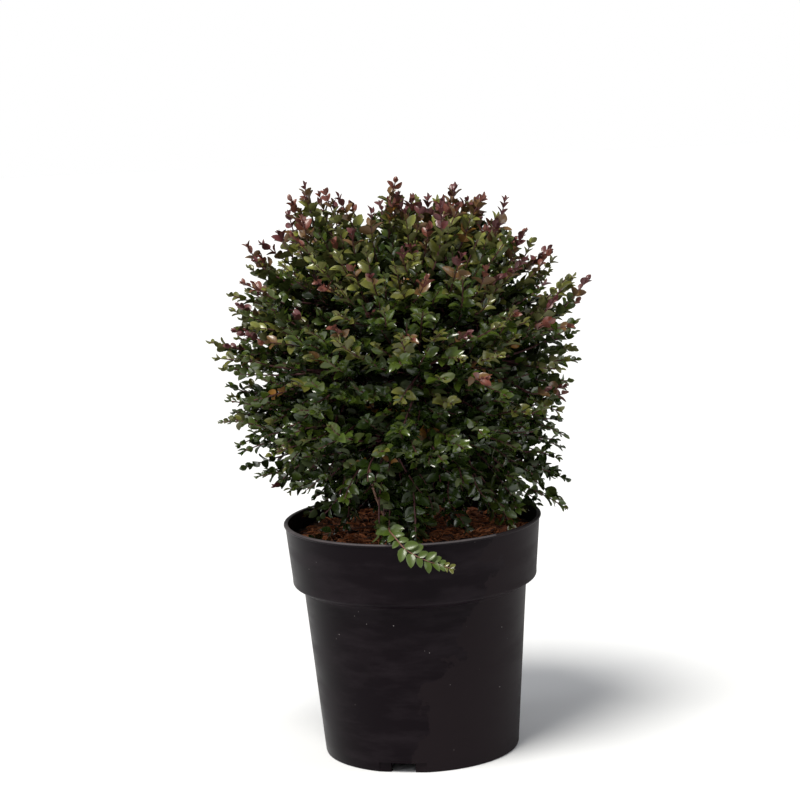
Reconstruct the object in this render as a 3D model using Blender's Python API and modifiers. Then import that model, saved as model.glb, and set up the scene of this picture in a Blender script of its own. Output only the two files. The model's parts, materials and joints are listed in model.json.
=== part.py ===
"""Box honeysuckle with copper tips in a round nursery pot.

Metres, +Z up. The origin is the middle of the pot's flat underside.
The crown is a rounded ball of foliage masses about a heart point. Each mass
keeps to its own cone of directions from the heart, so no two can touch.
"""

import math
import random

import bmesh
import bpy
from mathutils import Matrix, Vector, noise

# Pot
POT_HEIGHT = 0.174
RIM_RADIUS = 0.095
RIM_LIP = 0.0009
RIM_LIP_HEIGHT = 0.0025
COLLAR_HEIGHT = 0.044
COLLAR_FOOT_RADIUS = 0.0900
BODY_TOP_RADIUS = 0.0822
BASE_RADIUS = 0.0720
POT_WALL = 0.0016
POT_SEGMENTS = 36
STEP_DROP = 0.0065
FOOT_RING_WIDTH = 0.0055
UNDERSIDE_HOLLOW = 0.0085
FLOOR_THICKNESS = 0.0020
CENTRE_PAD_RADIUS = 0.030
NOTCH_COUNT = 3
NOTCH_TURN = math.radians(-102.2)
NOTCH_WIDTH = 0.0180
NOTCH_HEIGHT = 0.0075
NOTCH_RECESS_WIDTH = 0.0350
NOTCH_RECESS_DEPTH = 0.0010
NOTCH_GAP_REACH = 2.4 * FOOT_RING_WIDTH
NOTCH_RECESS_REACH = 4.0 * NOTCH_RECESS_DEPTH
DRAIN_HOLE_RADIUS = 0.0045
DRAIN_RING_RADIUS = 0.052
DRAIN_HOLE_COUNT = 6
DRAIN_HOLE_SEGMENTS = 12
LIP_ROUNDING = 0.4
COLLAR_BEAD = 0.0004
COLLAR_BEAD_HEIGHT = 0.0012
COLLAR_EDGE = 0.0006
SHOULDER_WIDTH = 0.0018
SHOULDER_HEIGHT = 0.0022
FOOT_FLARE = 0.0002
FOOT_EDGE = 0.0010
FOOT_EDGE_HEIGHT = 0.0012
TURN_WELD = 0.00001

# Potting soil
GAP = 0.0003
SOIL_LEVEL = 0.1625
SOIL_RINGS = 7
SOIL_LUMP = 0.0028
SOIL_LUMP_SIZE = 0.022
SOIL_FLAT_RADIUS = 0.053
SOIL_SINK = 0.3

# Trunk
TRUNK_FOOT = SOIL_LEVEL + GAP
TRUNK_TOP = 0.212
TRUNK_TOP_RADIUS = 0.0040
TRUNK_FLARE = 0.0045
TRUNK_FLARE_HEIGHT = 0.007
TRUNK_LEAN = Vector((0.0025, -0.0010, 0.0))
TRUNK_RINGS = 10
TRUNK_SIDES = 12
TRUNK_TAPER = 0.35
TRUNK_RING_CROWDING = 1.5
TUBE_WELD = 0.000001

# Crown
HEART = Vector((0.0, 0.0, 0.285))
STEM_ZONE_RADIUS = 0.040
CELL_MARGIN = 0.0004
RIM_CLEARANCE = 0.0015
BOUGH_ROOT_RADIUS = 0.0016
BOUGH_TIP_RADIUS = 0.0012
BOUGH_SPREAD = {"lower": 0.75, "middle": 0.95, "upper": 1.7}
BOUGH_START = {"lower": 0.1785, "middle": 0.1880, "upper": 0.1985, "top": TRUNK_TOP}
BOUGH_STAGGER = 0.0036
BOUGH_POINTS = 5
BOUGH_SIDES = 6
BOUGH_FOOT_LENGTH = 0.0020
BOUGH_TURN_LENGTH = 0.0040
BOUGH_DROP = 1.45
REACH_SHARPNESS = 14.0

# Each ring of masses: first azimuth, height angle and the reaches in order
MASS_RINGS = {
    "lower": {"first": -105.0, "height": -34.0,
              "reach": (0.124, 0.128, 0.136, 0.134, 0.134, 0.130)},
    "middle": {"first": -80.0, "height": 6.0,
               "reach": (0.128, 0.127, 0.134, 0.136, 0.138, 0.133)},
    "upper": {"first": -110.0, "height": 46.0,
              "reach": (0.128, 0.134, 0.140, 0.136, 0.142)},
    "top": {"first": 0.0, "height": 90.0, "reach": (0.130,)},
}

# The furthest shoots: azimuth, height angle and reach from the heart
LEADERS = {
    "top": (-100.0, 88.0, 0.137),
    "top_right": (-10.0, 72.0, 0.137),
    "shoulder_right": (-12.0, 57.0, 0.144),
    "right_upper": (5.0, 36.0, 0.135),
    "right_tip": (-3.0, 24.0, 0.148),
    "right_middle": (8.0, 8.0, 0.129),
    "right_low": (-8.0, -20.0, 0.118),
    "right_foot": (-4.0, -33.0, 0.130),
    "right_overhang": (4.0, -43.5, 0.152),
    "front_right_droop": (-32.0, -47.0, 0.136),
    "shoulder_left": (187.0, 64.0, 0.153),
    "left_upper": (176.0, 40.0, 0.144),
    "left_middle": (184.0, 26.0, 0.138),
    "left_tip": (178.0, 10.0, 0.144),
    "left_low": (186.0, -13.0, 0.139),
    "left_foot": (183.0, -29.0, 0.139),
    "left_skirt": (176.0, -40.0, 0.131),
    "back_left": (118.0, 30.0, 0.140),
    "back": (92.0, 52.0, 0.142),
    "back_right": (62.0, 18.0, 0.143),
    "back_low": (98.0, -32.0, 0.136),
}

# Leaves and twigs, larger than life because each stands for a spray
LEAF_LENGTH = 0.0245
LEAF_WIDTH = 0.0150
LEAF_THICKNESS = 0.0010
LEAF_WIDEST = -0.16
LEAF_SUNK = 0.0020
LEAF_SPLAY = math.radians(52)
SHOOTS_PER_MASS = 5
FEWEST_OWN_SHOOTS = 3
PAIRS_PER_SHOOT = 2
SHOOT_CONE = math.radians(32)
SHOOT_SPIRAL_START = 0.3
SHOOT_REACH = (0.93, 1.0)
SHOOT_ROOTS = (0.75, 0.95)
MASS_STEM_SHARE = 0.6
TWIG_RADIUS = 0.0015
TWIG_TIP_RADIUS = 0.0010
FIRST_PAIR = 0.20
PAIR_STEP = 0.66
PAIR_TURN = math.radians(85)
CORE_MIDDLE = 0.60
CORE_RADIUS = 0.027
CORE_LUMPS = 1.6
CORE_LUMP_SHARE = 0.5
CORE_STEP = 0.0008
CORE_ROOM = 0.0080
GOLDEN_ANGLE = math.radians(137.508)
SEED = 12
SEED_STRIDE = 100
MOST_TRIES = 8
WELD_DISTANCE = 0.0000002

# Shoot that trails over the front of the rim
TRAIL_KEEP_OUT = 0.0150
TRAIL_RADIUS = 0.0011
TRAIL_LEAF_SCALE = 0.62
TRAIL_PAIRS = 7
TRAIL_BARE = 0.50
TRAIL_LEAFY = 0.97
TRAIL_SIDES = 4
TRAIL_TWIST = 0.3
TRAIL_OVER_RIM = 0.0065

# Stem that stands by itself in front of the foliage
BASAL_FOOT = Vector((-0.0150, -0.0400, 0.0))
BASAL_TOP = Vector((-0.0330, -0.0500, 0.2360))
BASAL_RADIUS = 0.0014
BASAL_POINTS = 5
BASAL_KEEP_OUT = 0.0080

POT_COLOUR = (0.020, 0.017, 0.019)
SOIL_COLOUR = (0.085, 0.032, 0.018)
BARK_COLOUR = (0.105, 0.055, 0.040)
LEAF_COLOURS = {
    "lower": (0.022, 0.062, 0.014),
    "middle": (0.035, 0.080, 0.016),
    "upper": (0.095, 0.090, 0.026),
    "top": (0.130, 0.060, 0.034),
}


def clear_scene():
    for old in list(bpy.data.objects):
        bpy.data.objects.remove(old, do_unlink=True)


def make_collection(name):
    made = bpy.data.collections.new(name)
    bpy.context.scene.collection.children.link(made)
    return made


def make_material(name, colour, roughness):
    material = bpy.data.materials.new(name)
    material.use_nodes = True
    shader = material.node_tree.nodes["Principled BSDF"]
    shader.inputs["Base Color"].default_value = (*colour, 1.0)
    shader.inputs["Roughness"].default_value = roughness
    shader.inputs["Metallic"].default_value = 0.0
    return material


def mesh_object(name, bm, collection, material=None):
    mesh = bpy.data.meshes.new(name)
    bm.to_mesh(mesh)
    bm.free()
    made = bpy.data.objects.new(name, mesh)
    collection.objects.link(made)
    if material:
        mesh.materials.append(material)
    return made


def applied(source, name, collection, material):
    """Replace an object by the mesh that its modifiers or curve give."""
    bpy.context.view_layer.update()
    evaluated = source.evaluated_get(bpy.context.evaluated_depsgraph_get())
    mesh = bpy.data.meshes.new_from_object(evaluated)
    place = source.matrix_world.copy()
    bpy.data.objects.remove(source, do_unlink=True)
    made = bpy.data.objects.new(name, mesh)
    made.matrix_world = place
    collection.objects.link(made)
    mesh.materials.clear()
    mesh.materials.append(material)
    return made


def turned(name, profile, segments, collection, material):
    """Turn a profile of (radius, height) about the Z axis."""
    bm = bmesh.new()
    points = [bm.verts.new((radius, 0.0, height)) for radius, height in profile]
    for first, second in zip(points, points[1:]):
        bm.edges.new((first, second))
    made = mesh_object(name, bm, collection, material)
    screw = made.modifiers.new("turn", "SCREW")
    screw.axis = "Z"
    screw.steps = segments
    screw.render_steps = segments
    screw.use_merge_vertices = True
    screw.merge_threshold = TURN_WELD
    screw.use_smooth_shade = False
    return made


def turned_about(point, angle, radius):
    return point + Vector((math.cos(angle), math.sin(angle), 0.0)) * radius


def collar_radius(height):
    rise = (height - (POT_HEIGHT - COLLAR_HEIGHT)) / COLLAR_HEIGHT
    return COLLAR_FOOT_RADIUS + (RIM_RADIUS - RIM_LIP - COLLAR_FOOT_RADIUS) * rise


def body_radius(height):
    rise = height / (POT_HEIGHT - COLLAR_HEIGHT - STEP_DROP)
    return BASE_RADIUS + (BODY_TOP_RADIUS - BASE_RADIUS) * rise


def make_pot(collection, cutters, material):
    collar_foot = POT_HEIGHT - COLLAR_HEIGHT
    step = collar_foot - STEP_DROP
    floor = UNDERSIDE_HOLLOW + FLOOR_THICKNESS
    lip_foot = POT_HEIGHT - RIM_LIP_HEIGHT
    foot_inner = BASE_RADIUS - FOOT_RING_WIDTH
    profile = [
        (0.0, floor),
        (body_radius(floor) - POT_WALL, floor),
        (BODY_TOP_RADIUS - POT_WALL, step),
        (COLLAR_FOOT_RADIUS - POT_WALL, collar_foot),
        (collar_radius(lip_foot) - POT_WALL, POT_HEIGHT),
        (RIM_RADIUS - LIP_ROUNDING * RIM_LIP, POT_HEIGHT),
        (RIM_RADIUS, POT_HEIGHT - LIP_ROUNDING * RIM_LIP_HEIGHT),
        (collar_radius(lip_foot), lip_foot),
        (COLLAR_FOOT_RADIUS + COLLAR_BEAD, collar_foot + COLLAR_BEAD_HEIGHT),
        (COLLAR_FOOT_RADIUS - COLLAR_EDGE, collar_foot - COLLAR_EDGE),
        (BODY_TOP_RADIUS + SHOULDER_WIDTH, step + SHOULDER_HEIGHT),
        (BODY_TOP_RADIUS, step),
        (BASE_RADIUS + FOOT_FLARE, FOOT_EDGE_HEIGHT),
        (BASE_RADIUS - FOOT_EDGE, 0.0),
        (foot_inner, 0.0),
        (foot_inner, UNDERSIDE_HOLLOW),
        (CENTRE_PAD_RADIUS, UNDERSIDE_HOLLOW),
        (CENTRE_PAD_RADIUS, 0.0),
        (0.0, 0.0),
    ]
    pot = turned("pot", profile, POT_SEGMENTS, collection, material)
    for index in range(NOTCH_COUNT):
        angle = NOTCH_TURN + index * math.tau / NOTCH_COUNT
        make_notch(index, angle, cutters)
    for index in range(DRAIN_HOLE_COUNT):
        angle = NOTCH_TURN + (index + 0.5) * math.tau / DRAIN_HOLE_COUNT
        make_drain_hole(index, angle, cutters)
    cut = pot.modifiers.new("drainage", "BOOLEAN")
    cut.operation = "DIFFERENCE"
    cut.operand_type = "COLLECTION"
    cut.collection = cutters
    return pot


def make_cutter(name, bm, cutters):
    cutter = mesh_object(name, bm, cutters)
    cutter.hide_render = True
    cutter.display_type = "WIRE"


def make_notch(index, angle, cutters):
    """A drainage gap through the foot ring, in a shallow wider recess."""
    turn = Matrix.Rotation(angle, 4, "Z")
    for name, width, depth, radius in (
            ("gap", NOTCH_WIDTH, NOTCH_GAP_REACH, BASE_RADIUS - 0.5 * FOOT_RING_WIDTH),
            ("recess", NOTCH_RECESS_WIDTH, NOTCH_RECESS_REACH,
             BASE_RADIUS + 0.5 * NOTCH_RECESS_DEPTH)):
        bm = bmesh.new()
        bmesh.ops.create_cube(bm, size=1.0)
        bmesh.ops.scale(bm, verts=bm.verts, vec=(depth, width, 2.0 * NOTCH_HEIGHT))
        bmesh.ops.translate(bm, verts=bm.verts, vec=(radius, 0.0, 0.0))
        bmesh.ops.transform(bm, verts=bm.verts, matrix=turn)
        make_cutter(f"notch_{name}_{index + 1}", bm, cutters)


def make_drain_hole(index, angle, cutters):
    bm = bmesh.new()
    bmesh.ops.create_cone(bm, cap_ends=True, segments=DRAIN_HOLE_SEGMENTS,
                          radius1=DRAIN_HOLE_RADIUS, radius2=DRAIN_HOLE_RADIUS,
                          depth=4.0 * FLOOR_THICKNESS)
    place = turned_about(Vector((0.0, 0.0, UNDERSIDE_HOLLOW)), angle, DRAIN_RING_RADIUS)
    bmesh.ops.translate(bm, verts=bm.verts, vec=place)
    make_cutter(f"drain_hole_{index + 1}", bm, cutters)


def make_soil(collection, material):
    floor = UNDERSIDE_HOLLOW + FLOOR_THICKNESS + GAP
    wall = POT_WALL + 2.0 * GAP
    step = POT_HEIGHT - COLLAR_HEIGHT - STEP_DROP
    collar_foot = POT_HEIGHT - COLLAR_HEIGHT
    edge = collar_radius(SOIL_LEVEL) - wall
    profile = [(edge * ring / SOIL_RINGS, SOIL_LEVEL) for ring in range(SOIL_RINGS + 1)]
    profile += [
        (COLLAR_FOOT_RADIUS - wall, collar_foot + GAP),
        (BODY_TOP_RADIUS - wall, step + GAP),
        (body_radius(floor) - wall, floor),
        (0.0, floor),
    ]
    soil = turned("soil", profile, POT_SEGMENTS, collection, material)
    soil = applied(soil, "soil", collection, material)
    for vertex in soil.data.vertices:
        away = vertex.co.xy.length
        if vertex.co.z < SOIL_LEVEL - GAP or away < SOIL_FLAT_RADIUS:
            continue
        lump = noise.noise(vertex.co / SOIL_LUMP_SIZE)
        vertex.co.z += SOIL_LUMP * (lump - SOIL_SINK)
    return soil


def tube(name, points, radii, sides, collection, material):
    """A round tapering limb along a poly curve, made a closed mesh."""
    curve = bpy.data.curves.new(name, "CURVE")
    curve.dimensions = "3D"
    curve.bevel_depth = 1.0
    curve.bevel_resolution = max(0, sides // 2 - 2)
    curve.use_fill_caps = True
    spline = curve.splines.new("POLY")
    spline.points.add(len(points) - 1)
    for place, point, radius in zip(spline.points, points, radii):
        place.co = (*point, 1.0)
        place.radius = radius
    made = bpy.data.objects.new(name, curve)
    collection.objects.link(made)
    made = applied(made, name, collection, material)
    bm = bmesh.new()
    bm.from_mesh(made.data)
    bmesh.ops.remove_doubles(bm, verts=bm.verts, dist=TUBE_WELD)
    bmesh.ops.recalc_face_normals(bm, faces=bm.faces)
    bm.to_mesh(made.data)
    bm.free()
    return made


def trunk_axis(height):
    rise = (height - TRUNK_FOOT) / (TRUNK_TOP - TRUNK_FOOT)
    return Vector((0.0, 0.0, height)) + TRUNK_LEAN * rise


def trunk_radius(height):
    up = height - TRUNK_FOOT
    rise = up / (TRUNK_TOP - TRUNK_FOOT)
    straight = TRUNK_TOP_RADIUS * (1.0 + TRUNK_TAPER - TRUNK_TAPER * rise)
    return straight + TRUNK_FLARE * math.exp(-up / TRUNK_FLARE_HEIGHT)


def make_trunk(collection, material):
    heights = [TRUNK_FOOT + (TRUNK_TOP - TRUNK_FOOT) * (ring / TRUNK_RINGS) ** TRUNK_RING_CROWDING
               for ring in range(TRUNK_RINGS + 1)]
    points = [trunk_axis(height) for height in heights]
    radii = [trunk_radius(height) for height in heights]
    trunk = tube("trunk", points, radii, TRUNK_SIDES, collection, material)
    for vertex in trunk.data.vertices:
        vertex.co.z = max(vertex.co.z, TRUNK_FOOT)
    return trunk


def heading(azimuth, height):
    """The unit direction of an azimuth and a height angle in degrees."""
    turn = math.radians(azimuth)
    rise = math.radians(height)
    level = math.cos(rise)
    return Vector((level * math.cos(turn), level * math.sin(turn), math.sin(rise)))


def plan_masses():
    """Name, direction and reach of each foliage mass."""
    plan = []
    for ring, sizes in MASS_RINGS.items():
        count = len(sizes["reach"])
        for index, reach in enumerate(sizes["reach"]):
            azimuth = sizes["first"] + index * 360.0 / count
            name = f"foliage_{ring}_{index + 1}" if count > 1 else f"foliage_{ring}"
            plan.append({"name": name, "ring": ring, "azimuth": azimuth,
                         "height": sizes["height"], "reach": reach,
                         "axis": heading(azimuth, sizes["height"])})
    return plan


def crown_reach(direction, plan):
    """How far the crown reaches in a direction, blended from its masses."""
    total = 0.0
    weight_sum = 0.0
    for mass in plan:
        weight = math.exp(REACH_SHARPNESS * (direction.dot(mass["axis"]) - 1.0))
        total += weight * mass["reach"]
        weight_sum += weight
    return total / weight_sum


def distance_to_path(point, path):
    best = 1.0
    for first, second in zip(path, path[1:]):
        along = second - first
        share = max(0.0, min(1.0, (point - first).dot(along) / along.length_squared))
        best = min(best, (point - first - along * share).length)
    return best


def clear_of_pot(point):
    return point.z > POT_HEIGHT + RIM_CLEARANCE or point.xy.length > RIM_RADIUS + RIM_CLEARANCE


def in_own_space(point, mass, plan, kept_out, room_more=0.0):
    """Inside the mass's cone, clear of the stems, the pot and the free shoots."""
    offset = point - HEART
    for other in plan:
        if other is mass:
            continue
        between = mass["axis"] - other["axis"]
        if offset.dot(between) / between.length < CELL_MARGIN:
            return False
    level = offset.xy.length
    clear_of_stems = STEM_ZONE_RADIUS + CELL_MARGIN
    if offset.length < clear_of_stems or (offset.z < 0.0 and level < clear_of_stems):
        return False
    if not clear_of_pot(point):
        return False
    return all(distance_to_path(point, path) > room + room_more for path, room in kept_out)


def mass_anchor(mass):
    """Where a bough's tip hands over to the stem of its mass."""
    axis = mass["axis"]
    if axis.z >= 0.0:
        return HEART + axis * STEM_ZONE_RADIUS, axis
    drop = BOUGH_DROP * mass["height"]
    level = heading(mass["azimuth"], 0.0)
    anchor = HEART + level * STEM_ZONE_RADIUS
    anchor.z += STEM_ZONE_RADIUS * math.tan(math.radians(drop))
    return anchor, level


def bough_path(mass, start_height):
    """From the trunk's side, or its top, to the stem of the mass."""
    anchor, out = mass_anchor(mass)
    if mass["ring"] == "top":
        start = trunk_axis(TRUNK_TOP) + Vector((0.0, 0.0, GAP))
        return [start.lerp(anchor, step / (BOUGH_POINTS - 1)) for step in range(BOUGH_POINTS)]
    level = heading(mass["azimuth"], 0.0)
    middle = trunk_axis(start_height)
    start = middle + level * (trunk_radius(start_height - BOUGH_ROOT_RADIUS) + 2.0 * GAP)
    first = start + level * BOUGH_FOOT_LENGTH
    last = anchor - out * BOUGH_TURN_LENGTH
    points = [start]
    for step in range(BOUGH_POINTS):
        share = step / (BOUGH_POINTS - 1)
        away = first.lerp(last, share ** BOUGH_SPREAD[mass["ring"]])
        away.z = first.z + (last.z - first.z) * share
        points.append(away)
    points.append(anchor)
    return points


def make_bough(mass, start_height, collection, material):
    points = bough_path(mass, start_height)
    count = len(points) - 1
    radii = [BOUGH_ROOT_RADIUS + (BOUGH_TIP_RADIUS - BOUGH_ROOT_RADIUS) * index / count
             for index in range(count + 1)]
    name = mass["name"].replace("foliage", "bough")
    return tube(name, points, radii, BOUGH_SIDES, collection, material)


def make_leaf(place, along, across, scale, collection):
    """A pointed leaf with eight faces, its root at the place."""
    bm = bmesh.new()
    bmesh.ops.create_uvsphere(bm, u_segments=4, v_segments=2, radius=1.0)
    for vertex in bm.verts:
        if abs(vertex.co.z) < 0.5:
            vertex.co.z = LEAF_WIDEST
    length = LEAF_LENGTH * scale
    size = Vector((0.5 * LEAF_WIDTH * scale, 0.5 * LEAF_THICKNESS, 0.5 * length))
    bmesh.ops.scale(bm, verts=bm.verts, vec=size)
    bmesh.ops.translate(bm, verts=bm.verts, vec=(0.0, 0.0, 0.5 * length - LEAF_SUNK * scale))
    frame = Matrix((across, along.cross(across), along)).transposed().to_4x4()
    frame.translation = place
    bmesh.ops.transform(bm, verts=bm.verts, matrix=frame)
    return mesh_object("leaf", bm, collection)


def make_twig(start, end, root_radius, tip_radius, collection):
    along = end - start
    bm = bmesh.new()
    bmesh.ops.create_cone(bm, cap_ends=True, segments=3, radius1=root_radius,
                          radius2=tip_radius, depth=along.length)
    frame = along.to_track_quat("Z", "Y").to_matrix().to_4x4()
    frame.translation = start.lerp(end, 0.5)
    bmesh.ops.transform(bm, verts=bm.verts, matrix=frame)
    return mesh_object("twig", bm, collection)


def stays_inside(piece, inside):
    """True where a piece's corners and edge middles all keep to the space."""
    mesh = piece.data
    spots = [vertex.co for vertex in mesh.vertices]
    spots += [(mesh.vertices[edge.vertices[0]].co + mesh.vertices[edge.vertices[1]].co) / 2.0
              for edge in mesh.edges]
    return all(inside(spot) for spot in spots)


def leafy_shoot(start, end, pairs, core_middle, inside, collection, draw):
    """A twig with opposite leaf pairs on its outer part and one at its tip."""
    along = (end - start).normalized()
    across = along.orthogonal().normalized()
    across.rotate(Matrix.Rotation(draw.uniform(0.0, math.tau), 3, along))
    tip = end - along * (LEAF_LENGTH - LEAF_SUNK)
    twig = make_twig(start, tip, TWIG_RADIUS, TWIG_TIP_RADIUS, collection)
    if not stays_inside(twig, inside):
        bpy.data.objects.remove(twig, do_unlink=True)
        return
    leaves = [make_leaf(tip - along * LEAF_SUNK, along, across, 1.0, collection)]
    for pair in range(pairs):
        place = tip - along * (FIRST_PAIR + PAIR_STEP * pair) * LEAF_LENGTH
        across.rotate(Matrix.Rotation(PAIR_TURN, 3, along))
        if (place - core_middle).length < CORE_RADIUS:
            continue
        for side in (1.0, -1.0):
            out = along * math.cos(LEAF_SPLAY) + across * side * math.sin(LEAF_SPLAY)
            leaves.append(make_leaf(place, out, along.cross(across), 1.0, collection))
    for leaf in leaves:
        if not stays_inside(leaf, inside):
            bpy.data.objects.remove(leaf, do_unlink=True)


def make_core(mass, inside, name, collection, material):
    """A lumpy body that fills the inner part of the mass's cone."""
    middle = HEART + mass["axis"] * mass["reach"] * CORE_MIDDLE
    bm = bmesh.new()
    bmesh.ops.create_icosphere(bm, subdivisions=2, radius=1.0)
    for vertex in bm.verts:
        outward = vertex.co.normalized()
        lump = noise.noise(outward * CORE_LUMPS + middle / CORE_RADIUS)
        size = CORE_RADIUS * (1.0 + CORE_LUMP_SHARE * lump)
        while size > CORE_STEP and not inside(middle + outward * (size + CORE_STEP)):
            size -= CORE_STEP
        vertex.co = middle + outward * size
    return mesh_object(name, bm, collection, material)


def keep_largest_shell(piece):
    """Drop loose scraps and the skins of sealed hollows."""
    bm = bmesh.new()
    bm.from_mesh(piece.data)
    bmesh.ops.triangulate(bm, faces=bm.faces)
    unseen = set(bm.faces)
    shells = []
    while unseen:
        first = unseen.pop()
        shell = [first]
        for face in shell:
            for edge in face.edges:
                for near in edge.link_faces:
                    if near in unseen:
                        unseen.remove(near)
                        shell.append(near)
        volume = sum(face.verts[0].co.dot(face.verts[1].co.cross(face.verts[2].co))
                     for face in shell) / 6.0
        shells.append((volume, shell))
    shells.sort(key=lambda entry: entry[0])
    for volume, shell in shells[:-1]:
        bmesh.ops.delete(bm, geom=shell, context="FACES")
    bm.to_mesh(piece.data)
    bmesh.ops.remove_doubles(bm, verts=bm.verts, dist=WELD_DISTANCE)
    sound = all(len(edge.link_faces) == 2 for edge in bm.edges)
    bm.free()
    return sound


def join_by_union(piece, parts, name, collection, material):
    """Fuse the parts into the piece, and say whether the result is sound."""
    join = piece.modifiers.new("join", "BOOLEAN")
    join.operation = "UNION"
    join.operand_type = "COLLECTION"
    join.collection = parts
    join.solver = "MANIFOLD"
    joined = applied(piece, name, collection, material)
    for part in list(parts.objects):
        bpy.data.objects.remove(part, do_unlink=True)
    bpy.data.collections.remove(parts)
    return joined, keep_largest_shell(joined)


def first_sound(grow):
    """Grow a mass from one seed after another until its skin is sound."""
    for attempt in range(MOST_TRIES):
        joined, sound = grow(attempt)
        if sound:
            break
        if attempt < MOST_TRIES - 1:
            bpy.data.objects.remove(joined, do_unlink=True)
    return joined


def shoot_directions(mass, count, draw):
    """A seeded spiral of directions about the mass's axis."""
    axis = mass["axis"]
    side = axis.orthogonal().normalized()
    start_turn = draw.uniform(0.0, math.tau)
    for index in range(count):
        lean = SHOOT_CONE * math.sqrt((index + SHOOT_SPIRAL_START) / count)
        direction = axis.copy()
        tilt_axis = side.copy()
        tilt_axis.rotate(Matrix.Rotation(start_turn + index * GOLDEN_ANGLE, 3, axis))
        direction.rotate(Matrix.Rotation(lean, 3, tilt_axis))
        yield direction


def make_mass(mass, plan, leaders, kept_out, number, collection, material):
    anchor, out = mass_anchor(mass)
    stem_start = anchor + out * GAP
    stem_end = HEART + mass["axis"] * mass["reach"] * CORE_MIDDLE
    own_shoots = max(FEWEST_OWN_SHOOTS, SHOOTS_PER_MASS - len(leaders))

    def inside(point):
        return in_own_space(point, mass, plan, kept_out)

    def inside_with_room(point):
        return in_own_space(point, mass, plan, kept_out, CORE_ROOM)

    def grow(attempt):
        draw = random.Random(SEED + number + SEED_STRIDE * attempt)
        parts = make_collection(mass["name"] + "_parts")
        core = make_core(mass, inside_with_room, mass["name"], collection, material)
        make_twig(stem_start, stem_start.lerp(stem_end, MASS_STEM_SHARE), BOUGH_TIP_RADIUS,
                  BOUGH_TIP_RADIUS, parts)
        ends = [HEART + direction * crown_reach(direction, plan) * draw.uniform(*SHOOT_REACH)
                for direction in shoot_directions(mass, own_shoots, draw)]
        ends += [HEART + direction * length for direction, length in leaders]
        for end in ends:
            root = stem_start.lerp(stem_end, draw.uniform(*SHOOT_ROOTS))
            leafy_shoot(root, end, PAIRS_PER_SHOOT, stem_end, inside, parts, draw)
        return join_by_union(core, parts, mass["name"], collection, material)

    return first_sound(grow)


def trail_path():
    """The route of the shoot that trails over the front of the rim."""
    start = trunk_axis(TRUNK_FOOT + 0.010)
    over_rim = POT_HEIGHT + TRAIL_OVER_RIM
    places = [
        start + Vector((-0.0042, -0.0060, 0.0)),
        Vector((-0.0130, -0.0300, POT_HEIGHT + 0.0020)),
        Vector((-0.0170, -0.0600, POT_HEIGHT + 0.0080)),
        Vector((-0.0165, -0.0840, over_rim + 0.0020)),
        Vector((-0.0130, -0.0965, over_rim)),
        Vector((-0.0050, -0.1030, POT_HEIGHT - 0.0020)),
        Vector((0.0080, -0.1045, POT_HEIGHT - 0.0095)),
        Vector((0.0250, -0.1040, POT_HEIGHT - 0.0160)),
    ]
    return places


def point_along(path, share):
    """A point and a direction at a share of a path's length."""
    lengths = [(second - first).length for first, second in zip(path, path[1:])]
    distance = sum(lengths) * share
    index = 0
    while distance > lengths[index] and index < len(lengths) - 1:
        distance -= lengths[index]
        index += 1
    along = (path[index + 1] - path[index]).normalized()
    return path[index] + along * distance, along


def make_trail(collection, material):
    path = trail_path()
    name = "foliage_trailing_front"

    def grow(attempt):
        draw = random.Random(SEED + SEED_STRIDE * attempt)
        stem = tube(name, path, [TRAIL_RADIUS] * len(path), TRAIL_SIDES, collection, material)
        parts = make_collection(name + "_parts")
        for pair in range(TRAIL_PAIRS):
            share = TRAIL_BARE + (TRAIL_LEAFY - TRAIL_BARE) * pair / (TRAIL_PAIRS - 1)
            place, along = point_along(path, share)
            across = along.cross(Vector((0.0, 0.0, 1.0))).cross(along).normalized()
            across.rotate(Matrix.Rotation(draw.uniform(-TRAIL_TWIST, TRAIL_TWIST), 3, along))
            for side in (1.0, -1.0):
                out = (along * math.cos(LEAF_SPLAY) + across * side * math.sin(LEAF_SPLAY))
                facing = along.cross(across)
                leaf = make_leaf(place, out, out.cross(facing), TRAIL_LEAF_SCALE, parts)
                if not stays_inside(leaf, clear_of_pot):
                    bpy.data.objects.remove(leaf, do_unlink=True)
        return join_by_union(stem, parts, name, collection, material)

    return first_sound(grow)


def basal_path():
    foot = BASAL_FOOT.copy()
    foot.z = SOIL_LEVEL + GAP
    return [foot.lerp(BASAL_TOP, step / (BASAL_POINTS - 1)) for step in range(BASAL_POINTS)]


def main():
    clear_scene()
    honeysuckle = make_collection("potted_box_honeysuckle")
    cutters = make_collection("pot_cutters")
    plastic = make_material("pot_plastic", POT_COLOUR, 0.45)
    earth = make_material("potting_soil", SOIL_COLOUR, 0.95)
    bark = make_material("bark", BARK_COLOUR, 0.8)
    greens = {ring: make_material(f"leaves_{ring}", colour, 0.4)
              for ring, colour in LEAF_COLOURS.items()}
    make_pot(honeysuckle, cutters, plastic)
    make_soil(honeysuckle, earth)
    make_trunk(honeysuckle, bark)
    plan = plan_masses()
    kept_out = [(trail_path(), TRAIL_KEEP_OUT), (basal_path(), BASAL_KEEP_OUT)]
    tube("basal_stem", basal_path(), [BASAL_RADIUS] * BASAL_POINTS, BOUGH_SIDES, honeysuckle, bark)
    leaders = {mass["name"]: [] for mass in plan}
    for azimuth, height, reach in LEADERS.values():
        direction = heading(azimuth, height)
        owner = max(plan, key=lambda mass: mass["axis"].dot(direction))
        leaders[owner["name"]].append((direction, reach))
    for number, mass in enumerate(plan):
        start_height = BOUGH_START[mass["ring"]] + BOUGH_STAGGER * (number % 2)
        make_bough(mass, start_height, honeysuckle, bark)
        make_mass(mass, plan, leaders[mass["name"]], kept_out, number, honeysuckle,
                  greens[mass["ring"]])
    make_trail(honeysuckle, greens["middle"])


main()
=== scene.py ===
import json
import math
import random

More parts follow.
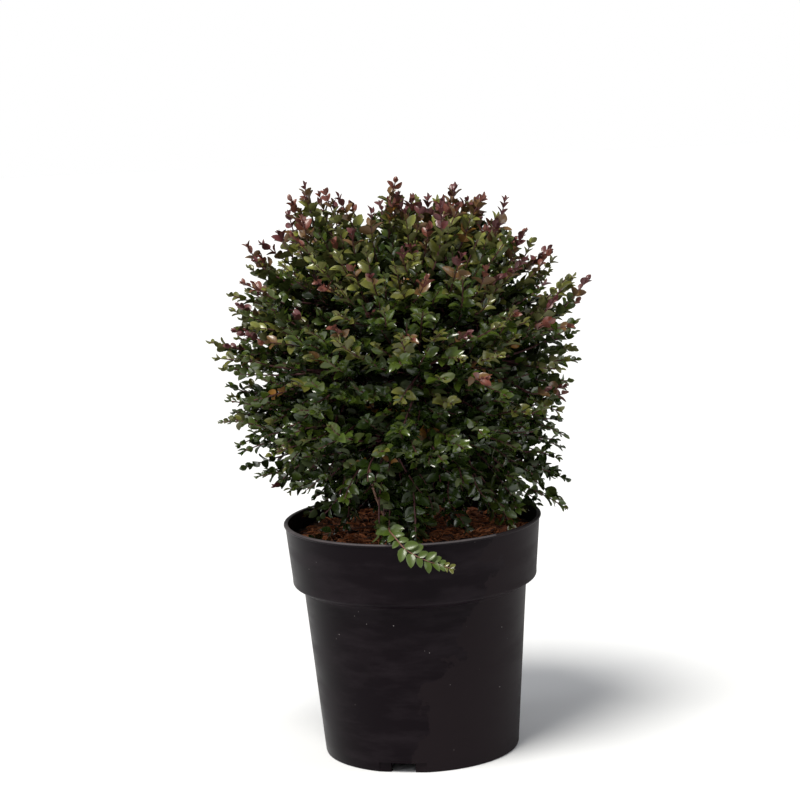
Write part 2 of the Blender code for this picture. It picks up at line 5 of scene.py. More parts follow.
import bmesh
import bpy
import numpy as np
from mathutils import Matrix, Vector, noise

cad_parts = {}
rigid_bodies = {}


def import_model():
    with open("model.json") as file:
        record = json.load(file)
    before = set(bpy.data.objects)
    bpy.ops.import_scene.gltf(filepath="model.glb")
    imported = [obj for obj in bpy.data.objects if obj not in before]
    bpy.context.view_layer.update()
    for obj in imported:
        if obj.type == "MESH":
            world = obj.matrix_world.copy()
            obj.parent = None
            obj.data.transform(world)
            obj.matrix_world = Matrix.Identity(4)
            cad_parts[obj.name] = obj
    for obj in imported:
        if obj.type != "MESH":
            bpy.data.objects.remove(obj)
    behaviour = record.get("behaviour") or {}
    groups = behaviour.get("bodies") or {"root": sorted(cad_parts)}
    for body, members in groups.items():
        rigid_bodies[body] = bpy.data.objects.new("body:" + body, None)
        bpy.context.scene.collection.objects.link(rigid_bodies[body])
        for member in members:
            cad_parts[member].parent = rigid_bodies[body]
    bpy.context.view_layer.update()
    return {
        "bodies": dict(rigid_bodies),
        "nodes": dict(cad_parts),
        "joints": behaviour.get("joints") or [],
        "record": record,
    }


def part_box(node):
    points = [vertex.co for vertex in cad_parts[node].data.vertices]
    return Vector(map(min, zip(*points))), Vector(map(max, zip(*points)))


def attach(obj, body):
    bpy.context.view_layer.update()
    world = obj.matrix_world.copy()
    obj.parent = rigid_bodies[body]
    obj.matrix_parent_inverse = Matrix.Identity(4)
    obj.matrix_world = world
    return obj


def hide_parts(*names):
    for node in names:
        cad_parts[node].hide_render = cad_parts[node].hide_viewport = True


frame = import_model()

body = "root"
up = Vector((0.0, 0.0, 1.0))
goldenAngle = math.radians(137.508)
coatRoughness = 0.10
weldDistance = 0.00001
seatGap = 0.0003  # from the soil's level up to the trunk's foot
seeds = {"soil": 5, "masses": 23, "leaders": 523, "skirt": 923, "sprigs": 314, "trail": 77}

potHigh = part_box("pot")[1]
potHeight = potHigh.z
rimRadius = potHigh.x
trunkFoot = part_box("trunk")[0].z
soilTop = trunkFoot - seatGap


# Small helpers for meshes and materials

def newObject(name, mesh, *materials):
    made = bpy.data.objects.new(name, mesh)
    bpy.context.scene.collection.objects.link(made)
    for material in materials:
        mesh.materials.append(material)
    return made


def fromBmesh(name, bm, *materials):
    mesh = bpy.data.meshes.new(name)
    bm.to_mesh(mesh)
    bm.free()
    return newObject(name, mesh, *materials)


def finishPiece(piece, nodes=()):
    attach(piece, body)
    if nodes:
        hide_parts(*nodes)


def plainMaterial(name, colour, roughness, coat=0.0):
    material = bpy.data.materials.new(name)
    material.use_nodes = True
    shader = material.node_tree.nodes["Principled BSDF"]
    shader.inputs["Base Color"].default_value = (*colour, 1.0)
    shader.inputs["Roughness"].default_value = roughness
    shader.inputs["Coat Weight"].default_value = coat
    shader.inputs["Coat Roughness"].default_value = coatRoughness
    return material


def addNode(tree, kind, **inputs):
    node = tree.nodes.new(kind)
    for key, value in inputs.items():
        node.inputs[key.replace("_", " ")].default_value = value
    return node


def rampNode(tree, low, high, lowColour, highColour):
    ramp = tree.nodes.new("ShaderNodeValToRGB")
    ramp.color_ramp.elements[0].position = low
    ramp.color_ramp.elements[0].color = (*lowColour, 1.0)
    ramp.color_ramp.elements[1].position = high
    ramp.color_ramp.elements[1].color = (*highColour, 1.0)
    return ramp


def mathNode(tree, operation, second=None, third=None):
    node = tree.nodes.new("ShaderNodeMath")
    node.operation = operation
    if second is not None:
        node.inputs[1].default_value = second
    if third is not None:
        node.inputs[2].default_value = third
    return node


# Grain that several materials share: noise spread between two levels into a mask
grainDefaults = {"Scale": 1.0, "Detail": 6.0, "Roughness": 0.6, "Low": 0.4, "High": 0.7}


def grainGroup():
    group = bpy.data.node_groups.new("grain", "ShaderNodeTree")
    face = group.interface
    face.new_socket("Vector", in_out="INPUT", socket_type="NodeSocketVector")
    for name, value in grainDefaults.items():
        socket = face.new_socket(name, in_out="INPUT", socket_type="NodeSocketFloat")
        socket.default_value = value
    face.new_socket("Mask", in_out="OUTPUT", socket_type="NodeSocketFloat")
    start = group.nodes.new("NodeGroupInput")
    end = group.nodes.new("NodeGroupOutput")
    speckle = group.nodes.new("ShaderNodeTexNoise")
    spread = group.nodes.new("ShaderNodeMapRange")
    for name in ("Vector", "Scale", "Detail", "Roughness"):
        group.links.new(start.outputs[name], speckle.inputs[name])
    group.links.new(speckle.outputs["Fac"], spread.inputs["Value"])
    group.links.new(start.outputs["Low"], spread.inputs["From Min"])
    group.links.new(start.outputs["High"], spread.inputs["From Max"])
    group.links.new(spread.outputs["Result"], end.inputs["Mask"])
    return group


grain = grainGroup()


def grainNode(tree, place, **inputs):
    node = tree.nodes.new("ShaderNodeGroup")
    node.node_tree = grain
    for key, value in inputs.items():
        node.inputs[key].default_value = value
    tree.links.new(place, node.inputs["Vector"])
    return node.outputs["Mask"]


def blendNode(tree, mask, first, second):
    mix = tree.nodes.new("ShaderNodeMix")
    mix.data_type = "RGBA"
    mix.inputs["A"].default_value = (*first, 1.0)
    mix.inputs["B"].default_value = (*second, 1.0)
    tree.links.new(mask, mix.inputs["Factor"])
    return mix


# Camera, set from the pot's edges and the crown's height in the photo

camera = {
    "place": (0.0, -1.8654, 0.5715),
    "turn": (80.552, 2.629, -0.284),
    "lens": 116.15,
    "sensor": 36.0,
}


def makeCamera():
    data = bpy.data.cameras.new("viewCamera")
    data.lens = camera["lens"]
    data.sensor_width = camera["sensor"]
    made = bpy.data.objects.new("viewCamera", data)
    made.location = camera["place"]
    made.rotation_euler = [math.radians(angle) for angle in camera["turn"]]
    bpy.context.scene.collection.objects.link(made)
    bpy.context.scene.camera = made


studio = {
    "floorSize": 6.0,
    "floorColour": (0.92, 0.94, 0.975),
    "floorRoughness": 0.9,
    "seenStrength": 1.0,
    "glowStrength": 0.30,
    "lights": {
        "overheadDiffuser": {"from": (-0.25, -0.40, 1.0), "angle": 22.0, "power": 3.0,
                             "colour": (1.0, 0.965, 0.89)},
        "leftDiffuser": {"from": (-1.0, -0.35, 0.45), "angle": 30.0, "power": 0.5,
                         "colour": (1.0, 1.0, 1.0)},
        "rightDiffuser": {"from": (1.0, -0.20, 0.50), "angle": 30.0, "power": 0.5,
                          "colour": (1.0, 1.0, 1.0)},
    },
}


def makeStudio():
    bm = bmesh.new()
    bmesh.ops.create_grid(bm, x_segments=1, y_segments=1, size=studio["floorSize"])
    paper = plainMaterial("floorPaper", studio["floorColour"], studio["floorRoughness"])
    floor = fromBmesh("studioFloor", bm, paper)
    world = bpy.data.worlds.new("studioWorld")
    world.use_nodes = True
    tree = world.node_tree
    background = tree.nodes["Background"]
    background.inputs["Color"].default_value = (1.0, 1.0, 1.0, 1.0)
    # the backdrop shows white while it gives the plant only a low fill
    seen = tree.nodes.new("ShaderNodeLightPath")
    strength = mathNode(tree, "MULTIPLY_ADD", studio["seenStrength"] - studio["glowStrength"],
                        studio["glowStrength"])
    tree.links.new(seen.outputs["Is Camera Ray"], strength.inputs[0])
    tree.links.new(strength.outputs[0], background.inputs["Strength"])
    bpy.context.scene.world = world
    for name, light in studio["lights"].items():
        data = bpy.data.lights.new(name, "SUN")
        data.angle = math.radians(light["angle"])
        data.energy = light["power"]
        data.color = light["colour"]
        made = bpy.data.objects.new(name, data)
        made.rotation_euler = Vector(light["from"]).to_track_quat("Z", "Y").to_euler()
        bpy.context.scene.collection.objects.link(made)
    bpy.context.scene.view_settings.view_transform = "Standard"


# The pot

pot = {
    "lip": 0.0009,
    "lipHeight": 0.0025,
    "lipRound": 0.0011,
    "lipInside": ((-0.0030, -0.0003), (-0.0022, 0.0)),
    "collarHeight": 0.044,
    "collarFoot": 0.0900,
    "collarUpper": 0.020,
    "collarLower": 0.004,
    "stepDrop": 0.0065,
    "stepInset": 0.0022,
    "stepRound": 0.0024,
    "stepHollow": ((0.0032, 0.0026), (0.0012, 0.0014), (0.0003, 0.0004), (-0.0001, -0.002)),
    "bodyTop": 0.0822,
    "bodyRows": (0.10, 0.07, 0.04, 0.012),
    "base": 0.0720,
    "footRound": ((0.0001, 0.0016), (-0.0003, 0.0005), (-0.0012, 0.0)),
    "footRing": 0.0055,
    "wall": 0.0016,
    "hollow": 0.0085,
    "floor": 0.0020,
    "floorBend": 0.0020,
    "pad": 0.030,
    "steps": 144,
    "roundPoints": 5,
    "crease": math.radians(32),
    "notchTurn": math.radians(-102.2),
    "notchCount": 3,
    "notchWidth": 0.0180,
    "notchHeight": 0.0075,
    "notchReach": 0.0132,
    "recessWidth": 0.0350,
    "recessDepth": 0.0010,
    "recessReach": 0.0060,
    "drainRadius": 0.0045,
    "drainDepth": 0.008,
    "drainSides": 24,
    "drainRing": 0.052,
    "drainCount": 6,
    "black": (0.0050, 0.0027, 0.0044),
    "scuffed": (0.0200, 0.0150, 0.0185),
    "dust": (0.22, 0.20, 0.20),
    "stain": (0.0125, 0.0085, 0.0102),
    # the pale colour of the painted highlight along the lip's top edge
    "paintedHighlight": (0.105, 0.094, 0.100),
    "strengths": {"paintedHighlight": 0.9, "scuffed": 0.75, "stain": 0.85, "dust": 1.0},
    "shine": 0.06,
    "roughness": 0.36,
    "scuffRoughness": 0.16,
    "stainRoughness": 0.14,
    "scuffStretch": (20.0, 20.0, 75.0),
    "scuffs": {"Scale": 1.0, "Low": 0.45, "High": 0.78},
    "blotches": {"Scale": 26.0, "Detail": 5.0, "Roughness": 0.55, "Low": 0.0, "High": 1.0},
    "stainAcross": 16.0,
    "stainUp": -7.0,
    "stainWave": 1.5,
    "stainEdge": (0.50, 0.53),
    "dustScale": 150.0,
    "speckEdge": (0.04, 0.07),
    "patches": {"Scale": 34.0, "Detail": 2.0, "Low": 0.56, "High": 0.62},
    # the height band at the lip's top that takes the painted highlight
    "paintedHighlightBand": (0.0012, 0.0005),
    "bump": 0.12,
    "bumpDepth": 0.0003,
}


def collarRadius(height):
    rise = (height - (potHeight - pot["collarHeight"])) / pot["collarHeight"]
    return pot["collarFoot"] + (rimRadius - pot["lip"] - pot["collarFoot"]) * rise


def bodyRadius(height):
    rise = height / (potHeight - pot["collarHeight"] - pot["stepDrop"])
    return pot["base"] + (pot["bodyTop"] - pot["base"]) * rise


def arc(middle, radius, start, end, count):
    turns = [start + (end - start) * index / (count - 1) for index in range(count)]
    return [(middle[0] + radius * math.cos(turn), middle[1] + radius * math.sin(turn))
            for turn in turns]


def potProfile():
    collarFoot = potHeight - pot["collarHeight"]
    step = collarFoot - pot["stepDrop"]
    floor = pot["hollow"] + pot["floor"]
    lipFoot = potHeight - pot["lipHeight"]
    footInner = pot["base"] - pot["footRing"]
    wall = pot["wall"]
    lipMiddle = (rimRadius - pot["lipRound"], potHeight - pot["lipRound"])
    stepMiddle = (pot["collarFoot"] - pot["stepInset"], collarFoot)
    # up the inside, over the lip, down the outside and under the foot to the middle
    profile = [(0.0, floor), (bodyRadius(floor) - wall - pot["floorBend"], floor),
               (bodyRadius(floor) - wall, floor + pot["floorBend"]),
               (pot["bodyTop"] - wall, step), (pot["collarFoot"] - wall, collarFoot),
               (collarRadius(lipFoot) - wall, lipFoot)]
    profile += [(rimRadius + out, potHeight + rise) for out, rise in pot["lipInside"]]
    profile += arc(lipMiddle, pot["lipRound"], math.pi / 2, -math.pi / 4, pot["roundPoints"])
    profile += [(collarRadius(height), height) for height in
                (lipFoot, potHeight - pot["collarUpper"], collarFoot + pot["collarLower"])]
    profile += arc(stepMiddle, pot["stepRound"], 0.0, -math.pi / 3, pot["roundPoints"])
    profile += [(pot["bodyTop"] + out, step + rise) for out, rise in pot["stepHollow"]]
    profile += [(bodyRadius(height), height) for height in pot["bodyRows"]]
    profile += [(pot["base"] + out, height) for out, height in pot["footRound"]]
    profile += [(footInner, 0.0), (footInner, pot["hollow"]), (pot["pad"], pot["hollow"]),
                (pot["pad"], 0.0), (0.0, 0.0)]
    return profile


# A profile of radius and height spun about Z into a closed skin
def spunMesh(profile, steps):
    bm = bmesh.new()
    verts = [bm.verts.new((radius, 0.0, height)) for radius, height in profile]
    edges = [bm.edges.new(pair) for pair in zip(verts, verts[1:])]
    bmesh.ops.spin(bm, geom=verts + edges, axis=up, cent=(0, 0, 0), steps=steps,
                   angle=math.tau, use_merge=True)
    bmesh.ops.remove_doubles(bm, verts=bm.verts, dist=weldDistance)
    bmesh.ops.recalc_face_normals(bm, faces=bm.faces)
    return bm


def addBox(bm, size, place, turn):
    made = bmesh.ops.create_cube(bm, size=1.0)["verts"]
    bmesh.ops.scale(bm, verts=made, vec=size)
    bmesh.ops.translate(bm, verts=made, vec=place)
    bmesh.ops.rotate(bm, verts=made, cent=(0, 0, 0), matrix=Matrix.Rotation(turn, 3, "Z"))


def cutBy(piece, cutterBmesh):
    cutter = fromBmesh("cutter", cutterBmesh)
    cut = piece.modifiers.new("cut", "BOOLEAN")
    cut.operation = "DIFFERENCE"
    cut.object = cutter
    cut.solver = "EXACT"
    bpy.context.view_layer.update()
    evaluated = piece.evaluated_get(bpy.context.evaluated_depsgraph_get())
    mesh = bpy.data.meshes.new_from_object(evaluated)
    piece.modifiers.clear()
    piece.data = mesh
    bpy.data.objects.remove(cutter, do_unlink=True)


# Black moulded plastic with scuffs, a dried water stain, dust specks and a painted highlight along the
# lip's top edge
def potPlastic():
    material = plainMaterial("potPlastic", pot["black"], pot["roughness"])
    tree = material.node_tree
    link = tree.links.new
    shader = tree.nodes["Principled BSDF"]
    shader.inputs["Specular IOR Level"].default_value = pot["shine"]
    place = tree.nodes.new("ShaderNodeTexCoord")
    split = tree.nodes.new("ShaderNodeSeparateXYZ")
    link(place.outputs["Object"], split.inputs["Vector"])
    stretch = tree.nodes.new("ShaderNodeMapping")
    stretch.inputs["Scale"].default_value = pot["scuffStretch"]
    link(place.outputs["Object"], stretch.inputs["Vector"])
    scuffs = grainNode(tree, stretch.outputs["Vector"], **pot["scuffs"])
    blotch = grainNode(tree, place.outputs["Object"], **pot["blotches"])
    # the stain lies on the front right of the body, with a crisp wavy edge
    side = mathNode(tree, "MULTIPLY_ADD", pot["stainAcross"])
    link(split.outputs["X"], side.inputs[0])
    lift = mathNode(tree, "MULTIPLY", pot["stainUp"])
    link(split.outputs["Z"], lift.inputs[0])
    link(lift.outputs[0], side.inputs[2])
    wavy = mathNode(tree, "MULTIPLY_ADD", pot["stainWave"])
    link(blotch, wavy.inputs[0])
    link(side.outputs[0], wavy.inputs[2])
    stained = rampNode(tree, *pot["stainEdge"], (0, 0, 0), (1, 1, 1))
    link(wavy.outputs[0], stained.inputs["Fac"])
    # dust lies in scattered specks, only here and there
    grains = addNode(tree, "ShaderNodeTexVoronoi", Scale=pot["dustScale"], Randomness=1.0)
    link(place.outputs["Object"], grains.inputs["Vector"])
    speck = rampNode(tree, *pot["speckEdge"], (1, 1, 1), (0, 0, 0))
    link(grains.outputs["Distance"], speck.inputs["Fac"])
    patches = grainNode(tree, place.outputs["Object"], **pot["patches"])
    dust = mathNode(tree, "MULTIPLY")
    link(speck.outputs["Color"], dust.inputs[0])
    link(patches, dust.inputs[1])
    # painted highlight: the lip's top edge is coloured pale where light would catch it
    paintedHighlightMask = tree.nodes.new("ShaderNodeMapRange")
    paintedHighlightMask.inputs["From Min"].default_value = potHeight - pot["paintedHighlightBand"][0]
    paintedHighlightMask.inputs["From Max"].default_value = potHeight - pot["paintedHighlightBand"][1]
    link(split.outputs["Z"], paintedHighlightMask.inputs["Value"])
    masks = {"paintedHighlight": paintedHighlightMask.outputs["Result"], "scuffed": scuffs,
             "stain": stained.outputs["Color"], "dust": dust.outputs[0]}
    colour = None
    for finish, mask in masks.items():
        strength = mathNode(tree, "MULTIPLY", pot["strengths"][finish])
        link(mask, strength.inputs[0])
        mix = blendNode(tree, strength.outputs[0], pot["black"], pot[finish])
        if colour is not None:
            link(colour, mix.inputs["A"])
        colour = mix.outputs["Result"]
    link(colour, shader.inputs["Base Color"])
    rough = mathNode(tree, "MULTIPLY_ADD", pot["scuffRoughness"], pot["roughness"])
    link(scuffs, rough.inputs[0])
    rougher = mathNode(tree, "MULTIPLY_ADD", pot["stainRoughness"])
    link(stained.outputs["Color"], rougher.inputs[0])
    link(rough.outputs[0], rougher.inputs[2])
    link(rougher.outputs[0], shader.inputs["Roughness"])
    bump = addNode(tree, "ShaderNodeBump", Strength=pot["bump"], Distance=pot["bumpDepth"])
    link(blotch, bump.inputs["Height"])
    link(bump.outputs["Normal"], shader.inputs["Normal"])
    return material


# One box at each notch in the foot, to be cut away
def notchBoxes(size, away):
    bm = bmesh.new()
    for index in range(pot["notchCount"]):
        turn = pot["notchTurn"] + index * math.tau / pot["notchCount"]
        addBox(bm, size, (away, 0, 0), turn)
    return bm


def drainCylinders():
    bm = bmesh.new()
    for index in range(pot["drainCount"]):
        turn = pot["notchTurn"] + (index + 0.5) * math.tau / pot["drainCount"]
        place = (pot["drainRing"] * math.cos(turn), pot["drainRing"] * math.sin(turn), pot["hollow"])
        hole = bmesh.ops.create_cone(bm, cap_ends=True, segments=pot["drainSides"],
                                     depth=pot["drainDepth"], radius1=pot["drainRadius"],
                                     radius2=pot["drainRadius"])
        bmesh.ops.translate(bm, verts=hole["verts"], vec=place)
    return bm


def makePot():
    piece = fromBmesh("potShell", spunMesh(potProfile(), pot["steps"]), potPlastic())
    notchUp = 2 * pot["notchHeight"]  # half of each box is under the foot
    cutBy(piece, notchBoxes((pot["notchReach"], pot["notchWidth"], notchUp),
                            pot["base"] - 0.5 * pot["footRing"]))
    cutBy(piece, notchBoxes((pot["recessReach"], pot["recessWidth"], notchUp),
                            pot["base"] + 0.5 * pot["recessDepth"]))
    cutBy(piece, drainCylinders())
    piece.data.shade_smooth()
    piece.data.set_sharp_from_angle(angle=pot["crease"])
    finishPiece(piece, ["pot"])
    print("pot made")


# The potting mix

soil = {
    "rings": 58,
    "steps": 150,
    "lump": 0.0042,
    "lumpSize": 0.022,
    "lumpSink": 0.25,
    "grain": 0.0017,
    "grainSizes": (0.0048, 0.0021),
    "calmRadius": 0.012,
    "calmFade": 0.020,
    "sink": 0.0010,
    "topBand": 0.0010,
    "gap": 0.0006,
    "floorGap": 0.0004,
    "stepGap": 0.0005,
    "floorInset": 0.003,
    "pieceInset": 0.008,
    "colour": (0.095, 0.033, 0.016),
    "dark": (0.016, 0.008, 0.006),
    "roughness": 0.95,
    "innermost": 0.02,
    "crumbs": {"Scale": 170.0, "Detail": 8.0, "Roughness": 0.7, "Low": 0.38, "High": 0.66},
    "bump": 0.8,
    "bumpDepth": 0.0006,
}
chips = {
    "count": 480,
    "lumpScales": (3.1, 2.3, 4.0),
    "lump": 0.28,
    "smallest": (0.0034, 0.0022, 0.0014),
    "growth": (0.0120, 0.0034, 0.0014),
    "tilts": (-0.4, 0.4),
    "lift": 0.0011,
    "roughness": 0.9,
    "colours": {"redChips": (0.270, 0.085, 0.036), "brownChips": (0.150, 0.055, 0.027),
                "darkChips": (0.045, 0.018, 0.011)},
    "extraLift": 0.002,
    "extras": {
        "redChips": {"place": (0.016, -0.060), "size": (0.021, 0.0042, 0.0022), "turn": 0.05},
        "brownChips": {"place": (-0.024, -0.013), "size": (0.0075, 0.0060, 0.0050), "turn": 0.6},
    },
}
fibres = {
    "count": 2400,
    "length": 0.006,
    "ends": (0.00055, 0.00034),
    "cuts": 4,
    "rise": 0.0011,
    "riseWave": 430.0,
    "sway": 0.0008,
    "swayWave": 560.0,
    "lengths": (0.5, 1.7),
    "widths": (0.6, 1.6),
    "tilts": (-0.6, 0.35),
    "lift": 0.0013,
    "roughness": 0.85,
    "colours": {"redFibres": (0.540, 0.190, 0.075), "brownFibres": (0.270, 0.100, 0.044)},
}
perlite = {
    "count": 22,
    "radius": 0.0011,
    "lengths": (0.6, 1.2),
    "widths": (0.6, 1.1),
    "flat": 0.8,
    "lift": 0.0006,
    "roughness": 0.95,
    "colour": (0.62, 0.60, 0.57),
}


def soilHeight(x, y):
    calm = min(1.0, max(0.0, (math.hypot(x, y) - soil["calmRadius"]) / soil["calmFade"]))
    spot = Vector((x, y, 0.0))
    lump = noise.noise(spot / soil["lumpSize"]) - soil["lumpSink"]
    coarse, fine = soil["grainSizes"]
    crumbs = noise.noise(spot / coarse) + 0.5 * noise.noise(spot / fine)
    return soilTop + calm * soil["lump"] * lump + soil["grain"] * crumbs - soil["sink"]


def soilMaterial():
    material = plainMaterial("pottingMix", soil["colour"], soil["roughness"])
    tree = material.node_tree
    shader = tree.nodes["Principled BSDF"]
    place = tree.nodes.new("ShaderNodeTexCoord")
    crumbs = grainNode(tree, place.outputs["Object"], **soil["crumbs"])
    mix = blendNode(tree, crumbs, soil["dark"], soil["colour"])
    tree.links.new(mix.outputs["Result"], shader.inputs["Base Color"])
    bump = addNode(tree, "ShaderNodeBump", Strength=soil["bump"], Distance=soil["bumpDepth"])
    tree.links.new(crumbs, bump.inputs["Height"])
    tree.links.new(bump.outputs["Normal"], shader.inputs["Normal"])
    return material


def makeSoil():
    gap = soil["gap"]
    floor = pot["hollow"] + pot["floor"] + soil["floorGap"]
    collarFoot = potHeight - pot["collarHeight"]
    step = collarFoot - pot["stepDrop"]
    edge = collarRadius(soilTop) - pot["wall"] - gap
    profile = [(edge * index / soil["rings"], soilTop) for index in range(soil["rings"] + 1)]
    profile += [(pot["collarFoot"] - pot["wall"] - gap, collarFoot + soil["stepGap"]),
                (pot["bodyTop"] - pot["wall"] - gap, step),
                (bodyRadius(floor) - pot["wall"] - soil["floorInset"], floor), (0.0, floor)]
    bm = spunMesh(profile, soil["steps"])
    for vert in bm.verts:
        if vert.co.z > soilTop - soil["topBand"]:
            vert.co.z = soilHeight(vert.co.x, vert.co.y)
    piece = fromBmesh("pottingMix", bm, soilMaterial())
    piece.data.shade_smooth()
    finishPiece(piece, ["soil"])
    draw = random.Random(seeds["soil"])
    reach = collarRadius(soilTop) - pot["wall"] - soil["pieceInset"]
    makeChips(draw, reach)
    makeFibres(draw, reach)
    makePerlite(draw, reach)
    print("potting mix made")


# A small mesh as arrays of points and of triangles, ready to be placed many times
def templateArrays(bm):
    bmesh.ops.triangulate(bm, faces=bm.faces)
    bm.verts.index_update()
    points = np.array([vert.co for vert in bm.verts])
    faces = np.array([[vert.index for vert in face.verts] for face in bm.faces])
    bm.free()
    return points, faces


scatterCrease = math.radians(75)


# One joined mesh of a template placed by many 4 x 4 frames
def scattered(name, template, frames, materials, faceMaterials=None, smooth=True):
    points, faces = template
    frames = np.array([np.array(frame) for frame in frames])
    placed = np.einsum("nij,vj->nvi", frames[:, :3, :3], points) + frames[:, None, :3, 3]
    count = len(frames)
    allFaces = (faces[None] + np.arange(count)[:, None, None] * len(points)).reshape(-1, 3)
    mesh = bpy.data.meshes.new(name)
    mesh.vertices.add(count * len(points))
    mesh.vertices.foreach_set("co", placed.reshape(-1).astype(np.float32))
    mesh.loops.add(allFaces.size)
    mesh.loops.foreach_set("vertex_index", allFaces.reshape(-1).astype(np.int32))
    mesh.polygons.add(len(allFaces))
    mesh.polygons.foreach_set("loop_start", np.arange(0, allFaces.size, 3, dtype=np.int32))
    if faceMaterials is not None:
        mesh.polygons.foreach_set("material_index", np.tile(faceMaterials, count).astype(np.int32))
    mesh.update()
    mesh.validate()
    if smooth:
        mesh.shade_smooth()
        mesh.set_sharp_from_angle(angle=scatterCrease)
    return newObject(name, mesh, *materials)


def soilSpot(draw, reach):
    turn = draw.uniform(0.0, math.tau)
    away = reach * math.sqrt(draw.uniform(soil["innermost"], 1.0))
    return away * math.cos(turn), away * math.sin(turn)


# Where a loose piece lies on the soil, with a turn of its own and a tilt
def lyingFrame(draw, x, y, size, settings):
    turn = Matrix.Rotation(draw.uniform(0, math.tau), 4, "Z")
    tilt = Matrix.Rotation(draw.uniform(*settings["tilts"]), 4, "Y")
    place = Matrix.Translation((x, y, soilHeight(x, y) + settings["lift"]))
    return place @ turn @ tilt @ Matrix.Diagonal((*size, 1.0))


# A crumb of bark: a cube cut in eight and pushed out of shape
def chipTemplate():
    bm = bmesh.new()
    bmesh.ops.create_cube(bm, size=1.0)
    bmesh.ops.subdivide_edges(bm, edges=bm.edges, cuts=1, use_grid_fill=True)
    alongX, alongY, alongZ = chips["lumpScales"]
    for vert in bm.verts:
        push = Vector((noise.noise(vert.co * alongX), noise.noise(vert.co * alongY + up),
                       noise.noise(vert.co * alongZ - up)))
        vert.co += push * chips["lump"]
    return templateArrays(bm)


def makeChips(draw, reach):
    chip = chipTemplate()
    for name, colour in chips["colours"].items():
        frames = []
        for index in range(chips["count"] // len(chips["colours"])):
            x, y = soilSpot(draw, reach)
            big = draw.uniform(0.0, 1.0) ** 3  # most stay small
            size = [least + more * big for least, more in zip(chips["smallest"], chips["growth"])]
            frames.append(lyingFrame(draw, x, y, size, chips))
        # a long flake and a nut that the photo shows near the stem
        extra = chips["extras"].get(name)
        if extra:
            x, y = extra["place"]
            place = Matrix.Translation((x, y, soilHeight(x, y) + chips["extraLift"]))
            turn = Matrix.Rotation(extra["turn"], 4, "Z")
            frames.append(place @ turn @ Matrix.Diagonal((*extra["size"], 1.0)))
        bark = plainMaterial(name, colour, chips["roughness"])
        finishPiece(scattered(name, chip, frames, [bark], smooth=False))


# A thin bent strand of three sides
def fibreTemplate():
    bm = bmesh.new()
    bmesh.ops.create_cone(bm, cap_ends=True, segments=3, radius1=fibres["ends"][0],
                          radius2=fibres["ends"][1], depth=fibres["length"])
    bmesh.ops.rotate(bm, verts=bm.verts, cent=(0, 0, 0), matrix=Matrix.Rotation(math.pi / 2, 3, "Y"))
    longEdges = [edge for edge in bm.edges if edge.calc_length() > fibres["length"] / 2]
    bmesh.ops.subdivide_edges(bm, edges=longEdges, cuts=fibres["cuts"])
    for vert in bm.verts:
        vert.co.z += fibres["rise"] * math.cos(vert.co.x * fibres["riseWave"])
        vert.co.y += fibres["sway"] * math.sin(vert.co.x * fibres["swayWave"])
    return templateArrays(bm)


def makeFibres(draw, reach):
    fibre = fibreTemplate()
    for name, colour in fibres["colours"].items():
        frames = []
        for index in range(fibres["count"] // len(fibres["colours"])):
            x, y = soilSpot(draw, reach)
            long = draw.uniform(*fibres["lengths"])
            size = (long, draw.uniform(*fibres["widths"]), long)
            frames.append(lyingFrame(draw, x, y, size, fibres))
        strand = plainMaterial(name, colour, fibres["roughness"])
        finishPiece(scattered(name, fibre, frames, [strand]))


def makePerlite(draw, reach):
    bm = bmesh.new()
    bmesh.ops.create_icosphere(bm, subdivisions=1, radius=perlite["radius"])
    pellet = templateArrays(bm)
    frames = []
    for index in range(perlite["count"]):
        x, y = soilSpot(draw, reach)
        size = (draw.uniform(*perlite["lengths"]), draw.uniform(*perlite["widths"]), perlite["flat"])
        place = Matrix.Translation((x, y, soilHeight(x, y) + perlite["lift"]))
        frames.append(place @ Matrix.Diagonal((*size, 1.0)))
    white = plainMaterial("perlite", perlite["colour"], perlite["roughness"])
    finishPiece(scattered("perliteGrains", pellet, frames, [white]))


# The crown: the same masses, directions and reaches as the solids

